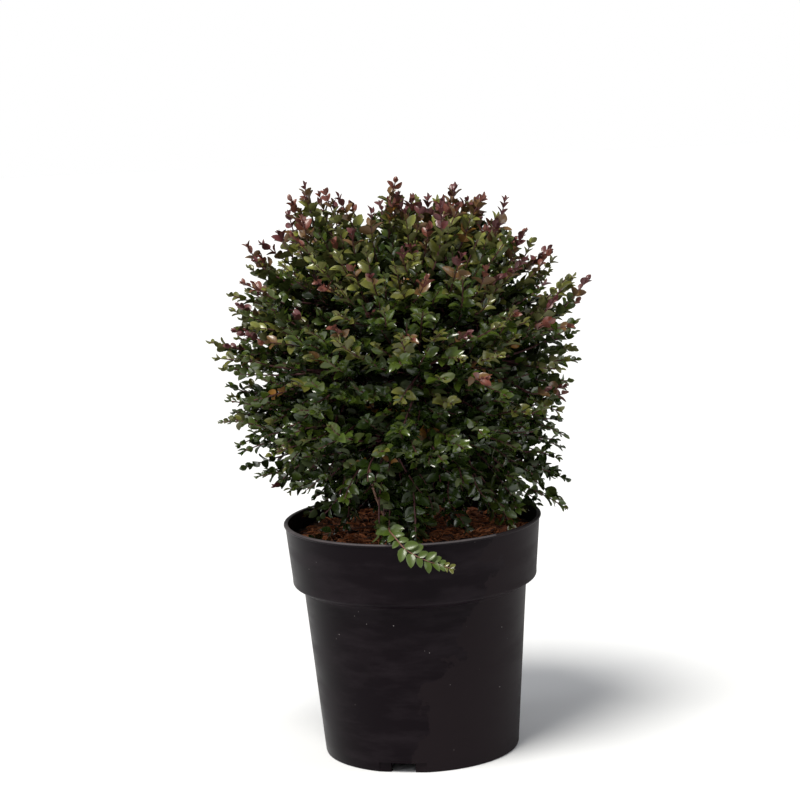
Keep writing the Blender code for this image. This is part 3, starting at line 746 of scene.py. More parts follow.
crown = {
    "heart": Vector((0.0, 0.0, 0.285)),
    "highest": 0.422,
    "stemZone": 0.040,
    "droop": 1.45,
    "sharpness": 14.0,
    "leaderSharpness": 36.0,
    "leaderShare": 0.8,
    "leaderFaint": 0.02,
    "coreMiddle": 0.60,
    "rings": {
        "lower": {"first": -105.0, "height": -34.0,
                  "reach": (0.124, 0.128, 0.136, 0.134, 0.134, 0.130)},
        "middle": {"first": -80.0, "height": 6.0,
                   "reach": (0.128, 0.127, 0.134, 0.136, 0.138, 0.133)},
        "upper": {"first": -110.0, "height": 46.0,
                  "reach": (0.128, 0.134, 0.140, 0.136, 0.142)},
        "top": {"first": 0.0, "height": 90.0, "reach": (0.130,)},
    },
    "leaders": {
        "top": (-100.0, 88.0, 0.137),
        "topRight": (-10.0, 72.0, 0.137),
        "shoulderRight": (-12.0, 57.0, 0.144),
        "rightUpper": (5.0, 36.0, 0.135),
        "rightTip": (-3.0, 24.0, 0.148),
        "rightMiddle": (8.0, 8.0, 0.129),
        "rightLow": (-8.0, -20.0, 0.118),
        "rightFoot": (-4.0, -33.0, 0.130),
        "rightOverhang": (4.0, -43.5, 0.152),
        "frontRightDroop": (-32.0, -47.0, 0.136),
        "shoulderLeft": (187.0, 64.0, 0.153),
        "leftUpper": (176.0, 40.0, 0.144),
        "leftMiddle": (184.0, 26.0, 0.138),
        "leftTip": (178.0, 10.0, 0.144),
        "leftLow": (186.0, -13.0, 0.139),
        "leftFoot": (183.0, -29.0, 0.139),
        "leftSkirt": (176.0, -40.0, 0.131),
        "backLeft": (118.0, 30.0, 0.140),
        "back": (92.0, 52.0, 0.142),
        "backRight": (62.0, 18.0, 0.143),
        "backLow": (98.0, -32.0, 0.136),
    },
}


def heading(azimuth, height):
    turn, rise = math.radians(azimuth), math.radians(height)
    level = math.cos(rise)
    return Vector((level * math.cos(turn), level * math.sin(turn), math.sin(rise)))


# A point's height as a share of the way from the pot's rim to the crown's top
def heightShare(point):
    return (point.z - potHeight) / (crown["highest"] - potHeight)


def planMasses():
    plan = []
    for ring, sizes in crown["rings"].items():
        count = len(sizes["reach"])
        for index, reach in enumerate(sizes["reach"]):
            azimuth = sizes["first"] + index * 360.0 / count
            name = f"{ring}_{index + 1}" if count > 1 else ring
            plan.append({"name": name, "ring": ring, "azimuth": azimuth,
                         "height": sizes["height"], "reach": reach,
                         "axis": heading(azimuth, sizes["height"])})
    return plan


plan = planMasses()


def crownReach(direction):
    total, weights = 0.0, 0.0
    for mass in plan:
        weight = math.exp(crown["sharpness"] * (direction.dot(mass["axis"]) - 1.0))
        total += weight * mass["reach"]
        weights += weight
    base = total / weights
    # the crown bulges or draws in round each of its leading shoots
    change = 0.0
    for azimuth, height, reach in crown["leaders"].values():
        near = math.exp(crown["leaderSharpness"] * (direction.dot(heading(azimuth, height)) - 1.0))
        if near > crown["leaderFaint"]:
            change += near * (reach - base)
    return base + crown["leaderShare"] * change


# Where a mass hangs on its bough, and the way the bough runs there
def massAnchor(mass):
    axis = mass["axis"]
    if axis.z >= 0.0:
        return crown["heart"] + axis * crown["stemZone"], axis.copy()
    drop = math.radians(crown["droop"] * mass["height"])
    level = heading(mass["azimuth"], 0.0)
    anchor = crown["heart"] + level * crown["stemZone"]
    anchor.z += crown["stemZone"] * math.tan(drop)
    return anchor, level


# Trunk and boughs, with bark relief

limbs = {
    "trunkTop": 0.212,
    "topRadius": 0.0040,
    "taper": 0.35,
    "flare": 0.0045,
    "flareHeight": 0.007,
    "lean": Vector((0.0025, -0.0010, 0.0)),
    "rootRadius": 0.0016,
    "tipRadius": 0.0012,
    "spread": {"lower": 0.75, "middle": 0.95, "upper": 1.7},
    "start": {"lower": 0.1785, "middle": 0.1880, "upper": 0.1985, "top": 0.212},
    "stagger": 0.0036,
    "rootInset": 0.6,
    "rootRun": 0.003,
    "tipRun": 0.004,
    "topSink": 0.001,
    "boughSteps": 14,
    "trunkSteps": 26,
    "trunkCrowding": 1.4,
    "trunkRoundness": 9,
    "boughRoundness": 3,
    "basalFoot": Vector((-0.0150, -0.0400, 0.0)),
    "basalTop": Vector((-0.0330, -0.0500, 0.2360)),
    "basalSink": 0.002,
    "basalRadius": 0.0009,
    "basalEnds": (1.1, 0.86),
    "basalSteps": 12,
    "basalSway": 0.0012,
    "basalWave": 0.7,
    "trunkRelief": 0.0011,
    "boughRelief": 0.0004,
    "barkStretch": (900.0, 900.0, 170.0),
    "ridgeSize": 0.0022,
    "ridgeStretch": 0.35,
    "basalColour": (0.340, 0.185, 0.130),
    "basalRoughness": 0.6,
    "barkRoughness": 0.8,
    "barkBump": 0.6,
    "barkBumpDepth": 0.0002,
    "ridges": {"Scale": 1.0, "Roughness": 0.65, "Low": 0.36, "High": 0.66},
    "barkDark": (0.040, 0.022, 0.017),
    "barkLight": (0.150, 0.078, 0.055),
}


def trunkAxis(height):
    rise = (height - trunkFoot) / (limbs["trunkTop"] - trunkFoot)
    return Vector((0.0, 0.0, height)) + limbs["lean"] * rise


def trunkRadius(height):
    rise = (height - trunkFoot) / (limbs["trunkTop"] - trunkFoot)
    flare = limbs["flare"] * math.exp(-(height - trunkFoot) / limbs["flareHeight"])
    return limbs["topRadius"] * (1.0 + limbs["taper"] * (1.0 - rise)) + flare


# Round limbs along paths, each path a list of points and a list of radii
def tubeMesh(paths, resolution):
    curve = bpy.data.curves.new("limbLines", "CURVE")
    curve.dimensions = "3D"
    curve.bevel_depth = 1.0  # each point's radius is then its own in metres
    curve.bevel_resolution = resolution
    curve.use_fill_caps = True
    for points, radii in paths:
        line = curve.splines.new("POLY")
        line.points.add(len(points) - 1)
        for spot, point, radius in zip(line.points, points, radii):
            spot.co = (*point, 1.0)
            spot.radius = radius
    holder = newObject("limbLines", curve)
    bpy.context.view_layer.update()
    evaluated = holder.evaluated_get(bpy.context.evaluated_depsgraph_get())
    mesh = bpy.data.meshes.new_from_object(evaluated)
    bpy.data.objects.remove(holder, do_unlink=True)
    mesh.materials.clear()
    return mesh


# Bark ridges that run along the limb, pushed in and out along the skin's normals
def roughen(mesh, depth):
    bm = bmesh.new()
    bm.from_mesh(mesh)
    bmesh.ops.recalc_face_normals(bm, faces=bm.faces)
    bm.normal_update()
    for vert in bm.verts:
        spot = Vector((vert.co.x, vert.co.y, vert.co.z * limbs["ridgeStretch"]))
        vert.co += vert.normal * depth * noise.noise(spot / limbs["ridgeSize"])
    bm.to_mesh(mesh)
    bm.free()


def taperedRadii(first, last, count):
    return [first + (last - first) * index / (count - 1) for index in range(count)]


def boughPath(mass, startHeight, steps):
    anchor, out = massAnchor(mass)
    if mass["ring"] == "top":
        start = trunkAxis(limbs["trunkTop"]) - up * limbs["topSink"]
        return [start.lerp(anchor, step / steps) for step in range(steps + 1)]
    level = heading(mass["azimuth"], 0.0)
    start = trunkAxis(startHeight) + level * trunkRadius(startHeight) * limbs["rootInset"]
    first = start + level * limbs["rootRun"]
    last = anchor - out * limbs["tipRun"]
    points = [start]
    for step in range(steps + 1):
        share = step / steps
        away = first.lerp(last, share ** limbs["spread"][mass["ring"]])
        away.z = first.z + (last.z - first.z) * share
        points.append(away)
    points.append(anchor)
    return points


def barkMaterial():
    material = plainMaterial("bark", limbs["barkLight"], limbs["barkRoughness"])
    tree = material.node_tree
    shader = tree.nodes["Principled BSDF"]
    place = tree.nodes.new("ShaderNodeTexCoord")
    stretch = tree.nodes.new("ShaderNodeMapping")
    stretch.inputs["Scale"].default_value = limbs["barkStretch"]
    tree.links.new(place.outputs["Object"], stretch.inputs["Vector"])
    ridges = grainNode(tree, stretch.outputs["Vector"], **limbs["ridges"])
    mix = blendNode(tree, ridges, limbs["barkDark"], limbs["barkLight"])
    tree.links.new(mix.outputs["Result"], shader.inputs["Base Color"])
    bump = addNode(tree, "ShaderNodeBump", Strength=limbs["barkBump"],
                   Distance=limbs["barkBumpDepth"])
    tree.links.new(ridges, bump.inputs["Height"])
    tree.links.new(bump.outputs["Normal"], shader.inputs["Normal"])
    return material


def makeTrunk(bark):
    steps = limbs["trunkSteps"]
    tall = limbs["trunkTop"] - trunkFoot
    heights = [trunkFoot + tall * (step / steps) ** limbs["trunkCrowding"]
               for step in range(steps + 1)]
    line = ([trunkAxis(height) for height in heights], [trunkRadius(height) for height in heights])
    mesh = tubeMesh([line], limbs["trunkRoundness"])
    roughen(mesh, limbs["trunkRelief"])
    mesh.shade_smooth()
    finishPiece(newObject("trunkBark", mesh, bark), ["trunk"])


def makeBoughs(bark):
    paths = []
    for number, mass in enumerate(plan):
        start = limbs["start"][mass["ring"]] + limbs["stagger"] * (number % 2)
        points = boughPath(mass, start, limbs["boughSteps"])
        paths.append((points, taperedRadii(limbs["rootRadius"], limbs["tipRadius"], len(points))))
    mesh = tubeMesh(paths, limbs["boughRoundness"])
    roughen(mesh, limbs["boughRelief"])
    mesh.shade_smooth()
    finishPiece(newObject("boughBark", mesh, bark),
                ["bough_" + mass["name"] for mass in plan])


def makeBasalStem():
    foot = limbs["basalFoot"].copy()
    foot.z = soilTop - limbs["basalSink"]
    steps = limbs["basalSteps"]
    points = [foot.lerp(limbs["basalTop"], step / steps) for step in range(steps + 1)]
    for index, point in enumerate(points):
        point.x += limbs["basalSway"] * math.sin(index * limbs["basalWave"])
    first, last = [limbs["basalRadius"] * share for share in limbs["basalEnds"]]
    mesh = tubeMesh([(points, taperedRadii(first, last, len(points)))], limbs["boughRoundness"])
    mesh.shade_smooth()
    basalBark = plainMaterial("basalBark", limbs["basalColour"], limbs["basalRoughness"])
    finishPiece(newObject("basalStem", mesh, basalBark), ["basal_stem"])


def makeLimbs():
    bark = barkMaterial()
    makeTrunk(bark)
    makeBoughs(bark)
    makeBasalStem()
    print("trunk and boughs made")


# Leaves and twigs

leaf = {
    "length": 0.0111,
    "lengthSpread": (0.74, 1.12),
    "width": 0.60,
    "thick": 0.030,
    "weld": 0.002,
    "spread": 0.4,
    "fold": 0.13,
    "curl": 0.30,
    "curlMiddle": 0.45,
    "rows": ((0.0, 0.0), (0.11, 0.54), (0.34, 1.0), (0.61, 0.93), (0.86, 0.54), (1.0, 0.0)),
    "splay": math.radians(58),
    "splaySpread": (0.8, 1.15),
    "turnSpread": 0.3,
    "levelFrom": 0.55,
    "levelPull": 1.1,
    "lift": (-0.10, 0.22),
    "faceUp": 0.7,
    "faceAlong": 0.6,
    "faceSpread": 0.95,
    "youngFrom": 0.82,
    "youngOver": 0.18,
    "youngShrink": 0.50,
    "youngClose": 0.35,
    "tipLength": 0.45,
    "tipSink": 0.001,
    "potClear": {"outside": 0.0018, "above": 0.0012, "inside": 0.0075, "soil": 0.0035},
    "stemClear": {"low": 0.34, "high": 0.80, "aside": 0.002, "room": 0.001},
    "coat": 0.22,
    "backRoughness": 0.55,
    "mostTriangles": 190000,
    "youngTones": ("copper", "burgundy", "bronze", "amber"),
    # each tone's upper face, its underside and its roughness
    "colours": {
        "copper": ((0.180, 0.052, 0.034), (0.150, 0.048, 0.034), 0.42),
        "burgundy": ((0.125, 0.032, 0.034), (0.110, 0.034, 0.036), 0.42),
        "bronze": ((0.160, 0.086, 0.030), (0.130, 0.072, 0.030), 0.30),
        "olive": ((0.125, 0.130, 0.026), (0.115, 0.118, 0.038), 0.26),
        "yellowGreen": ((0.205, 0.220, 0.042), (0.185, 0.195, 0.058), 0.30),
        "brightGreen": ((0.058, 0.096, 0.008), (0.078, 0.104, 0.020), 0.44),
        "midGreen": ((0.054, 0.084, 0.010), (0.070, 0.094, 0.021), 0.22),
        "darkGreen": ((0.021, 0.040, 0.006), (0.036, 0.052, 0.013), 0.22),
        "amber": ((0.260, 0.120, 0.020), (0.210, 0.100, 0.026), 0.34),
    },
}
moods = {
    "never": 2.0,  # a share along the shoot that no leaf reaches
    "flushLeast": 0.03,
    "flushRise": 2.4,
    "flushAbove": 0.54,
    "copperFrom": (0.80, 0.95),
    "bronzeBand": (0.03, 0.14),
    "burgundyShare": 0.45,
    "light": (-0.25, 0.20),
    "innerShade": 0.45,
    "amberShare": 0.03,
    "amberFrom": (0.4, 0.8),
    "amberBand": 0.14,
    "brightShare": 0.02,
    "brightBelow": 0.6,
    "brightTip": 0.965,
    "heightLight": 0.95,
    "tipLight": 0.38,
    "flicker": 0.12,
    "levels": (("yellowGreen", 1.06), ("olive", 0.80), ("midGreen", 0.50)),
}
shoots = {
    # how many shoots, and the nearest and farthest share of the reach where they end
    "layers": ((42, 0.90, 1.0), (32, 0.68, 0.88), (30, 0.36, 0.66)),
    "cone": math.radians(36),
    "strayLoss": 0.65,
    "clumpSize": 4.8,
    "clumpPhase": Vector((3.7, 1.9, 8.2)),
    "clumpLevel": 0.25,
    "clumpDepth": 0.20,
    "hollowBelow": -0.12,
    "hollowLoss": 0.82,
    "bare": (0.2, 0.5),
    "stragglers": 0.14,
    "stragglerBare": (0.55, 0.72),
    "outerFrom": 0.9,
    "rootShares": (0.15, 0.90),
    "farthestRoot": 0.95,
    "tipRise": (-0.05, 0.55),
    "wander": 0.16,
    "steps": 7,
    "stemSteps": 5,
    "stemRun": 0.02,
    "firstGap": 0.004,
    "nodeStep": 0.0060,
    "tipStep": 0.0032,
    "twigRoot": 0.00095,
    "twigTip": 0.00042,
    "twigRoughness": 0.6,
    "colours": {"youngTwigs": (0.090, 0.030, 0.032), "paleStems": (0.190, 0.090, 0.062)},
    "siblings": 3,
    "siblingTurn": 9.0,
    "siblingReach": (0.88, 0.97),
    "siblingBare": (0.3, 0.5),
    "leaderBare": 0.2,
    "brightLeaders": ("rightOverhang", "frontRightDroop"),
}
placed = {name: [] for name in leaf["colours"]}
twigPaths = {name: [] for name in shoots["colours"]}


# A folded oval blade one unit long, closed underneath at the midrib
def leafTemplate():
    bm = bmesh.new()
    rows = leaf["rows"]
    bmesh.ops.create_grid(bm, x_segments=2, y_segments=len(rows) - 1, size=0.5)
    for vert in bm.verts:
        share, wide = rows[round((vert.co.y + 0.5) * (len(rows) - 1))]
        bend = leaf["curl"] * (share - leaf["curlMiddle"]) ** 2
        atEdge = abs(vert.co.x) > 0.1
        lift = leaf["fold"] * wide if atEdge else 0.0
        vert.co = Vector((vert.co.x * leaf["width"] * wide, share, lift - bend))
    blade = bm.verts[:] + bm.edges[:] + bm.faces[:]
    below = bmesh.ops.duplicate(bm, geom=blade)["geom"]
    for part in below:
        if isinstance(part, bmesh.types.BMFace):
            part.material_index = 1
        elif isinstance(part, bmesh.types.BMVert):
            atMidrib = abs(part.co.x) < 0.0001 and 0.01 < part.co.y < 0.99
            part.co.z -= leaf["thick"] if atMidrib else 0.0
    bmesh.ops.remove_doubles(bm, verts=bm.verts, dist=leaf["weld"])
    bmesh.ops.triangulate(bm, faces=bm.faces)
    bmesh.ops.recalc_face_normals(bm, faces=bm.faces)
    under = np.array([face.material_index for face in bm.faces])
    print("leaf template", len(under), "triangles")
    return templateArrays(bm), under


def blockedByPot(point):
    clear = leaf["potClear"]
    level = point.xy.length
    if level > rimRadius + clear["outside"] or point.z > potHeight + clear["above"]:
        return False
    return level > rimRadius - clear["inside"] or point.z < soilTop + clear["soil"]


# Leaves part in front of the thin stem at the front left
def hidesBasalStem(point, spread):
    clear = leaf["stemClear"]
    foot, top = limbs["basalFoot"], limbs["basalTop"]
    share = (point.z - soilTop) / (top.z - soilTop)
    behind = point.y > foot.y + (top.y - foot.y) * share
    if not clear["low"] < share < clear["high"] or behind:
        return False
    aside = point.x - foot.x - (top.x - foot.x) * share + clear["aside"]
    return abs(aside) < spread + clear["room"]


# Queue one leaf: its root, the way it points and the way its face looks
def addLeaf(tone, place, along, facing, length):
    face = (facing - along * facing.dot(along)).normalized()
    across = along.cross(face)
    if blockedByPot(place + along * length) or blockedByPot(place + along * length * 0.5):
        return
    if hidesBasalStem(place + along * length * 0.5, length * leaf["spread"]):
        return
    turn = Matrix((across, along, face)).transposed() * length
    frame = turn.to_4x4()
    frame.translation = place
    placed[tone].append(frame)


# A curve from start to end that leans towards the bend
def bezier(start, bend, end, steps):
    points = []
    for step in range(steps + 1):
        share = step / steps
        points.append(start * (1 - share) ** 2 + bend * 2 * share * (1 - share) + end * share ** 2)
    return points


def pathLength(points):
    return sum((second - first).length for first, second in zip(points, points[1:]))


def pointAt(points, distance):
    for first, second in zip(points, points[1:]):
        stretch = (second - first).length
        if distance <= stretch or second is points[-1]:
            along = (second - first).normalized()
            return first + along * min(distance, stretch), along
        distance -= stretch
    return points[-1].copy(), (points[-1] - points[-2]).normalized()


# Colour by spray: copper or burgundy and bronze at the tips, then olive, mid and dark green
def toneOf(draw, mood, height, share):
    if mood["amber"] < share < mood["amber"] + moods["amberBand"]:
        return "amber"
    if mood["bright"]:
        return "olive" if share > moods["brightTip"] else "brightGreen"
    if share > mood["copperFrom"]:
        return mood["flush"]
    if share > mood["bronzeFrom"]:
        return "bronze"
    light = moods["heightLight"] * height + moods["tipLight"] * share + mood["light"]
    light += draw.uniform(-moods["flicker"], moods["flicker"])
    for tone, level in moods["levels"]:
        if light > level:
            return tone
    return "darkGreen"


def randomVector(draw, size):
    return Vector([draw.uniform(-size, size) for axis in range(3)])


# Opposite pairs of leaves along a twig, crowded and small at its tip
def leafyShoot(draw, points, mood, bare, scale=1.0, kind="youngTwigs", look=None):
    total = pathLength(points)
    twigPaths[kind].append(points)
    distance = total * bare + draw.uniform(0.0, shoots["firstGap"])
    roll = draw.uniform(0.0, math.pi)
    pair = 0
    while distance < total:
        share = distance / total
        place, along = pointAt(points, distance)
        young = max(0.0, (share - leaf["youngFrom"]) / leaf["youngOver"])
        length = leaf["length"] * scale * (1.0 - leaf["youngShrink"] * young)
        length *= draw.uniform(*leaf["lengthSpread"])
        turn = roll + pair * math.pi / 2 + draw.uniform(-leaf["turnSpread"], leaf["turnSpread"])
        side = along.orthogonal().normalized()
        side.rotate(Matrix.Rotation(turn, 3, along))
        flat = along.cross(look or up)
        if look:
            side = (flat.normalized() + side * trail["sideSpread"]).normalized()
        elif flat.length > leaf["levelFrom"]:
            pull = math.copysign(leaf["levelPull"], side.dot(flat))
            side = (side + flat.normalized() * pull).normalized()
        splay = leaf["splay"] * (1.0 - leaf["youngClose"] * young)
        splay *= draw.uniform(*leaf["splaySpread"])
        tone = toneOf(draw, mood, heightShare(place), share)
        for way in (1.0, -1.0):
            out = along * math.cos(splay) + side * way * math.sin(splay)
            out = (out + up * draw.uniform(*leaf["lift"])).normalized()
            facing = up * leaf["faceUp"] + along * leaf["faceAlong"]
            facing += randomVector(draw, leaf["faceSpread"])
            if look:
                facing = look * trail["facePull"] + facing * trail["faceSpread"]
            addLeaf(tone, place, out, facing, length)
        distance += shoots["nodeStep"] * (1.0 - young) + shoots["tipStep"] * young
        pair += 1
    tip, along = points[-1], (points[-1] - points[-2]).normalized()
    tone = toneOf(draw, mood, heightShare(tip), 1.0)
    addLeaf(tone, tip - along * leaf["tipSink"], along, along.orthogonal(),
            leaf["length"] * leaf["tipLength"] * scale)


# How a shoot is coloured, from how high and how far out it ends
def moodFor(draw, end, inner=False):
    height = heightShare(end)
    flushShare = moods["flushLeast"] + moods["flushRise"] * max(0.0, height - moods["flushAbove"])
    flush = draw.random() < flushShare and not inner
    mood = plainMood(0.0, False)
    if flush:
        mood["copperFrom"] = draw.uniform(*moods["copperFrom"])
        mood["bronzeFrom"] = mood["copperFrom"] - draw.uniform(*moods["bronzeBand"])
    mood["flush"] = "burgundy" if draw.random() < moods["burgundyShare"] else "copper"
    mood["light"] = draw.uniform(*moods["light"]) - (moods["innerShade"] if inner else 0.0)
    if draw.random() < moods["amberShare"]:
        mood["amber"] = draw.uniform(*moods["amberFrom"])
    mood["bright"] = draw.random() < moods["brightShare"] and height < moods["brightBelow"]
    return mood


def plainMood(light, bright):
    never = moods["never"]
    return {"copperFrom": never, "bronzeFrom": never, "light": light, "amber": never,
            "bright": bright}


# Directions spread evenly within a cone about the axis, the first nearest to it
def spiral(axis, count, cone, turn):
    side = axis.orthogonal().normalized()
    for index in range(count):
        lean = cone * math.sqrt((index + 0.4) / count)
        tilt = side.copy()
        tilt.rotate(Matrix.Rotation(turn + index * goldenAngle, 3, axis))
        direction = axis.copy()
        direction.rotate(Matrix.Rotation(lean, 3, tilt))
        yield direction


# A shoot from the mass's stem to an end, curving up towards the light
def growTo(draw, mass, end, mood, bare):
    heart = crown["heart"]
    anchor = massAnchor(mass)[0]
    stemEnd = heart + mass["axis"] * mass["reach"] * crown["coreMiddle"]
    far = min(shoots["farthestRoot"], (end - heart).length / mass["reach"])
    root = anchor.lerp(stemEnd, draw.uniform(*shoots["rootShares"]) * far)
    away = (end - heart).normalized()
    tipWay = (away + up * draw.uniform(*shoots["tipRise"])).normalized()
    run = (end - root).length
    bend = end - tipWay * run * 0.5
    bend += randomVector(draw, 1.0) * shoots["wander"] * run
    leafyShoot(draw, bezier(root, bend, end, shoots["steps"]), mood, bare)


def growMass(number, mass):
    draw = random.Random(seeds["masses"] + number)
    heart = crown["heart"]
    anchor, out = massAnchor(mass)
    stemEnd = heart + mass["axis"] * mass["reach"] * crown["coreMiddle"]
    stem = bezier(anchor, anchor + out * shoots["stemRun"], stemEnd, shoots["stemSteps"])
    twigPaths["youngTwigs"].append(stem)
    for count, nearest, farthest in shoots["layers"]:
        for direction in spiral(mass["axis"], count, shoots["cone"], draw.uniform(0, math.tau)):
            owner = max(plan, key=lambda other: other["axis"].dot(direction))
            if owner is not mass and draw.random() < shoots["strayLoss"]:
                continue
            # leafy clumps stand out and dark hollows sink in by turns
            clump = noise.noise(direction * shoots["clumpSize"] + shoots["clumpPhase"])
            share = draw.uniform(nearest, farthest)
            if farthest == 1.0:
                if clump < shoots["hollowBelow"] and draw.random() < shoots["hollowLoss"]:
                    continue
                share -= shoots["clumpDepth"] * max(0.0, shoots["clumpLevel"] - clump)
            end = heart + direction * crownReach(direction) * share
            if blockedByPot(end):
                continue
            bare = draw.uniform(*shoots["bare"])
            if draw.random() < shoots["stragglers"]:
                bare = draw.uniform(*shoots["stragglerBare"])
            inner = farthest < shoots["outerFrom"]
            growTo(draw, mass, end, moodFor(draw, end, inner), bare)


# The shoots that make the outline, each with a few siblings beside it
def growLeaders():
    draw = random.Random(seeds["leaders"])
    apart = shoots["siblingTurn"]
    for name, (azimuth, height, reach) in crown["leaders"].items():
        direction = heading(azimuth, height)
        mass = max(plan, key=lambda other: other["axis"].dot(direction))
        end = crown["heart"] + direction * reach
        mood = moodFor(draw, end)
        mood["bright"] = name in shoots["brightLeaders"]
        growTo(draw, mass, end, mood, shoots["leaderBare"])
        for sibling in range(shoots["siblings"]):
            aside = heading(azimuth + draw.uniform(-apart, apart), height + draw.uniform(-apart, apart))
            end = crown["heart"] + aside * reach * draw.uniform(*shoots["siblingReach"])
            if not blockedByPot(end):
                mood = moodFor(draw, end)
                growTo(draw, mass, end, mood, draw.uniform(*shoots["siblingBare"]))


skirt = {
    "count": 46,
    "away": (0.030, 0.074),
    "leftAway": 0.045,
    "leftPast": -0.35,
    "leftBefore": 0.3,
    "roots": (0.178, 0.205),
    "clear": 0.012,
    "highest": 0.215,
    "lift": 0.02,
    "steps": 6,
    "bare": 0.3,
    "scale": 0.95,
}


# Low shoots near the soil that close the foot of the crown
def growSkirt():
    draw = random.Random(seeds["skirt"])
    for index in range(skirt["count"]):
        away = draw.uniform(*skirt["away"])
        level = heading(math.degrees(index * goldenAngle), 0.0)
        if level.x < skirt["leftPast"] and level.y < skirt["leftBefore"]:
            away = min(away, skirt["leftAway"])
        root = trunkAxis(draw.uniform(*skirt["roots"]))
        end = Vector((level.x * away, level.y * away,
                      draw.uniform(soilTop + skirt["clear"], skirt["highest"])))
        bend = root.lerp(end, 0.5) + up * skirt["lift"]
        mood = moodFor(draw, end, True)
        leafyShoot(draw, bezier(root, bend, end, skirt["steps"]), mood, skirt["bare"], skirt["scale"])


# Sprigs that the photo shows one by one: over the rim at the right, and bare at the left
sprigs = (
    {"root": (0.030, -0.012, 0.215), "bend": (0.058, -0.030, 0.205), "end": (0.0705, -0.040, 0.1725),
     "bright": True, "bare": 0.30, "kind": "youngTwigs"},
    {"root": (0.028, -0.020, 0.210), "bend": (0.052, -0.036, 0.205), "end": (0.0610, -0.038, 0.1760),
     "bright": True, "bare": 0.30, "kind": "youngTwigs"},
    {"root": (0.034, -0.016, 0.222), "bend": (0.066, -0.034, 0.215), "end": (0.0760, -0.044, 0.1850),
     "bright": True, "bare": 0.30, "kind": "youngTwigs"},
    {"root": (0.040, 0.000, 0.200), "bend": (0.078, 0.000, 0.202), "end": (0.1120, 0.000, 0.1760),
     "bright": True, "bare": 0.45, "kind": "youngTwigs"},
    {"root": (-0.020, -0.020, 0.172), "bend": (-0.050, -0.034, 0.176),
     "end": (-0.0760, -0.036, 0.1680), "bright": False, "bare": 0.55, "kind": "paleStems"},
)
frontFoot = {
    "count": 20,
    "left": -0.024,
    "right": 0.012,
    "depth": (-0.085, -0.060),
    "clear": (0.006, 0.018),
    "rootIn": 0.6,
    "rootDepth": -0.030,
    "rootHeight": (0.200, 0.225),
    "bendOut": 1.1,
    "bendBack": 0.008,
    "bendHeight": (0.200, 0.222),
    "light": (-0.05, 0.30),
    "brightShare": 0.12,
    "bare": 0.12,
    "scale": 1.05,
}
sprigSteps = 8
sprigLight = 0.02


def growSprigs():
    draw = random.Random(seeds["sprigs"])
    for sprig in sprigs:
        path = bezier(Vector(sprig["root"]), Vector(sprig["bend"]), Vector(sprig["end"]), sprigSteps)
        mood = plainMood(sprigLight, sprig["bright"])
        leafyShoot(draw, path, mood, sprig["bare"], kind=sprig["kind"])
    # the crown's foot comes down to the soil at the front, left of the middle
    foot = frontFoot
    for index in range(foot["count"]):
        across = foot["left"] + (foot["right"] - foot["left"]) * draw.random()
        end = Vector((across, draw.uniform(*foot["depth"]),
                      draw.uniform(*[soilTop + clear for clear in foot["clear"]])))
        root = Vector((across * foot["rootIn"], foot["rootDepth"], draw.uniform(*foot["rootHeight"])))
        bend = Vector((across * foot["bendOut"], end.y + foot["bendBack"],
                       draw.uniform(*foot["bendHeight"])))
        mood = plainMood(draw.uniform(*foot["light"]), draw.random() < foot["brightShare"])
        leafyShoot(draw, bezier(root, bend, end, sprigSteps), mood, foot["bare"], foot["scale"])


trail = {
    "points": [(-0.0042, -0.0060, 0.1728), (-0.0130, -0.0300, 0.1760), (-0.0170, -0.0600, 0.1820),
               (-0.0165, -0.0840, 0.1825), (-0.0130, -0.0965, 0.1805), (-0.0050, -0.1030, 0.1720),
               (0.0080, -0.1045, 0.1645), (0.0250, -0.1040, 0.1580)],
    "steps": 5,
    "bare": 0.38,
    "scale": 0.92,
    "light": 0.2,
    "look": Vector((0.1, -0.85, 0.5)),
    "facePull": 2.2,
    "faceSpread": 0.5,
    "sideSpread": 0.25,
}


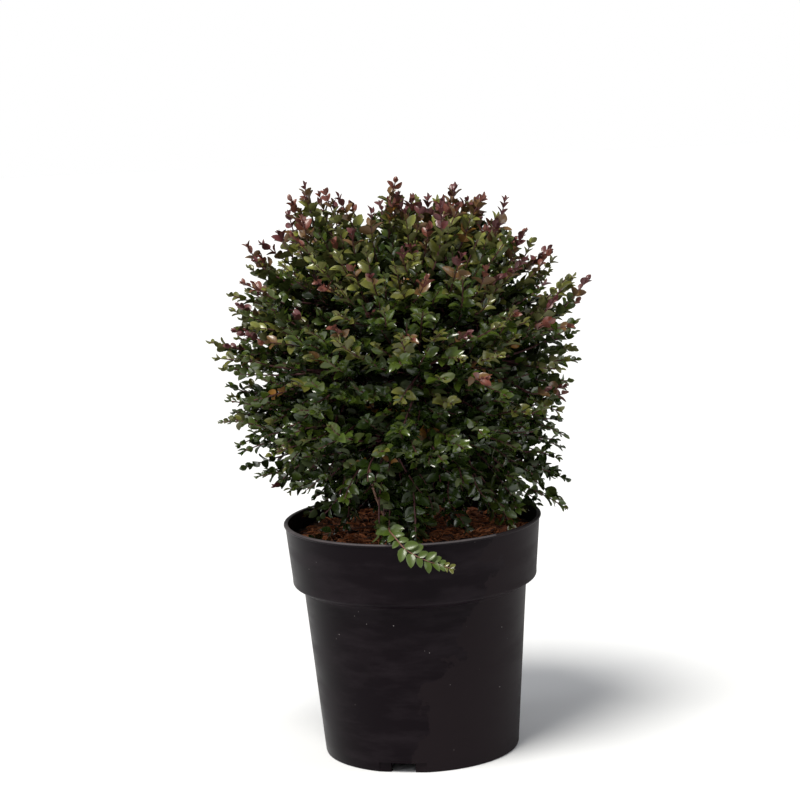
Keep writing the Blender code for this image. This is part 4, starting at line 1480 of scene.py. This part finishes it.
# A curve through the given points
def smoothPath(points, steps):
    points = [Vector(point) for point in points]
    smooth = []
    for index in range(len(points) - 1):
        before = points[max(0, index - 1)]
        start, end = points[index], points[index + 1]
        after = points[min(len(points) - 1, index + 2)]
        for step in range(steps):
            share = step / steps
            a = 2 * start
            b = end - before
            c = 2 * before - 5 * start + 4 * end - after
            d = 3 * start - before - 3 * end + after
            smooth.append(0.5 * (a + b * share + c * share ** 2 + d * share ** 3))
    smooth.append(points[-1])
    return smooth


# The one long shoot that lies over the pot's rim at the front
def growTrail():
    draw = random.Random(seeds["trail"])
    path = smoothPath(trail["points"], trail["steps"])
    leafyShoot(draw, path, plainMood(trail["light"], True), trail["bare"], trail["scale"],
               "paleStems", trail["look"])


def makeTwigs():
    for kind, colour in shoots["colours"].items():
        paths = [(path, taperedRadii(shoots["twigRoot"], shoots["twigTip"], len(path)))
                 for path in twigPaths[kind]]
        mesh = tubeMesh(paths, 0)
        mesh.shade_smooth()
        skin = plainMaterial(kind, colour, shoots["twigRoughness"])
        finishPiece(newObject(kind, mesh, skin))
        print(kind, "made:", len(paths))


def makeLeaves():
    template, under = leafTemplate()
    nodes = ["foliage_" + mass["name"] for mass in plan] + ["foliage_trailing_front"]
    largest = max(placed, key=lambda tone: len(placed[tone]))
    most = leaf["mostTriangles"] // len(under)
    for tone, frames in placed.items():
        top, back, roughness = leaf["colours"][tone]
        upper = plainMaterial("leafTop_" + tone, top, roughness, leaf["coat"])
        lower = plainMaterial("leafBack_" + tone, back, leaf["backRoughness"])
        slot = "copper_leaves" if tone in leaf["youngTones"] else "green_leaves"
        for part in range(0, len(frames), most):
            name = f"leaves_{tone}_{part // most + 1}"
            piece = scattered(name, template, frames[part:part + most], [upper, lower], under)
            finishPiece(piece, nodes if tone == largest and part == 0 else ())
        print("leaves", tone, len(frames))


makeCamera()
makeStudio()
makePot()
makeSoil()
makeLimbs()
for number, mass in enumerate(plan):
    growMass(number, mass)
growLeaders()
growSkirt()
growSprigs()
growTrail()
makeTwigs()
makeLeaves()
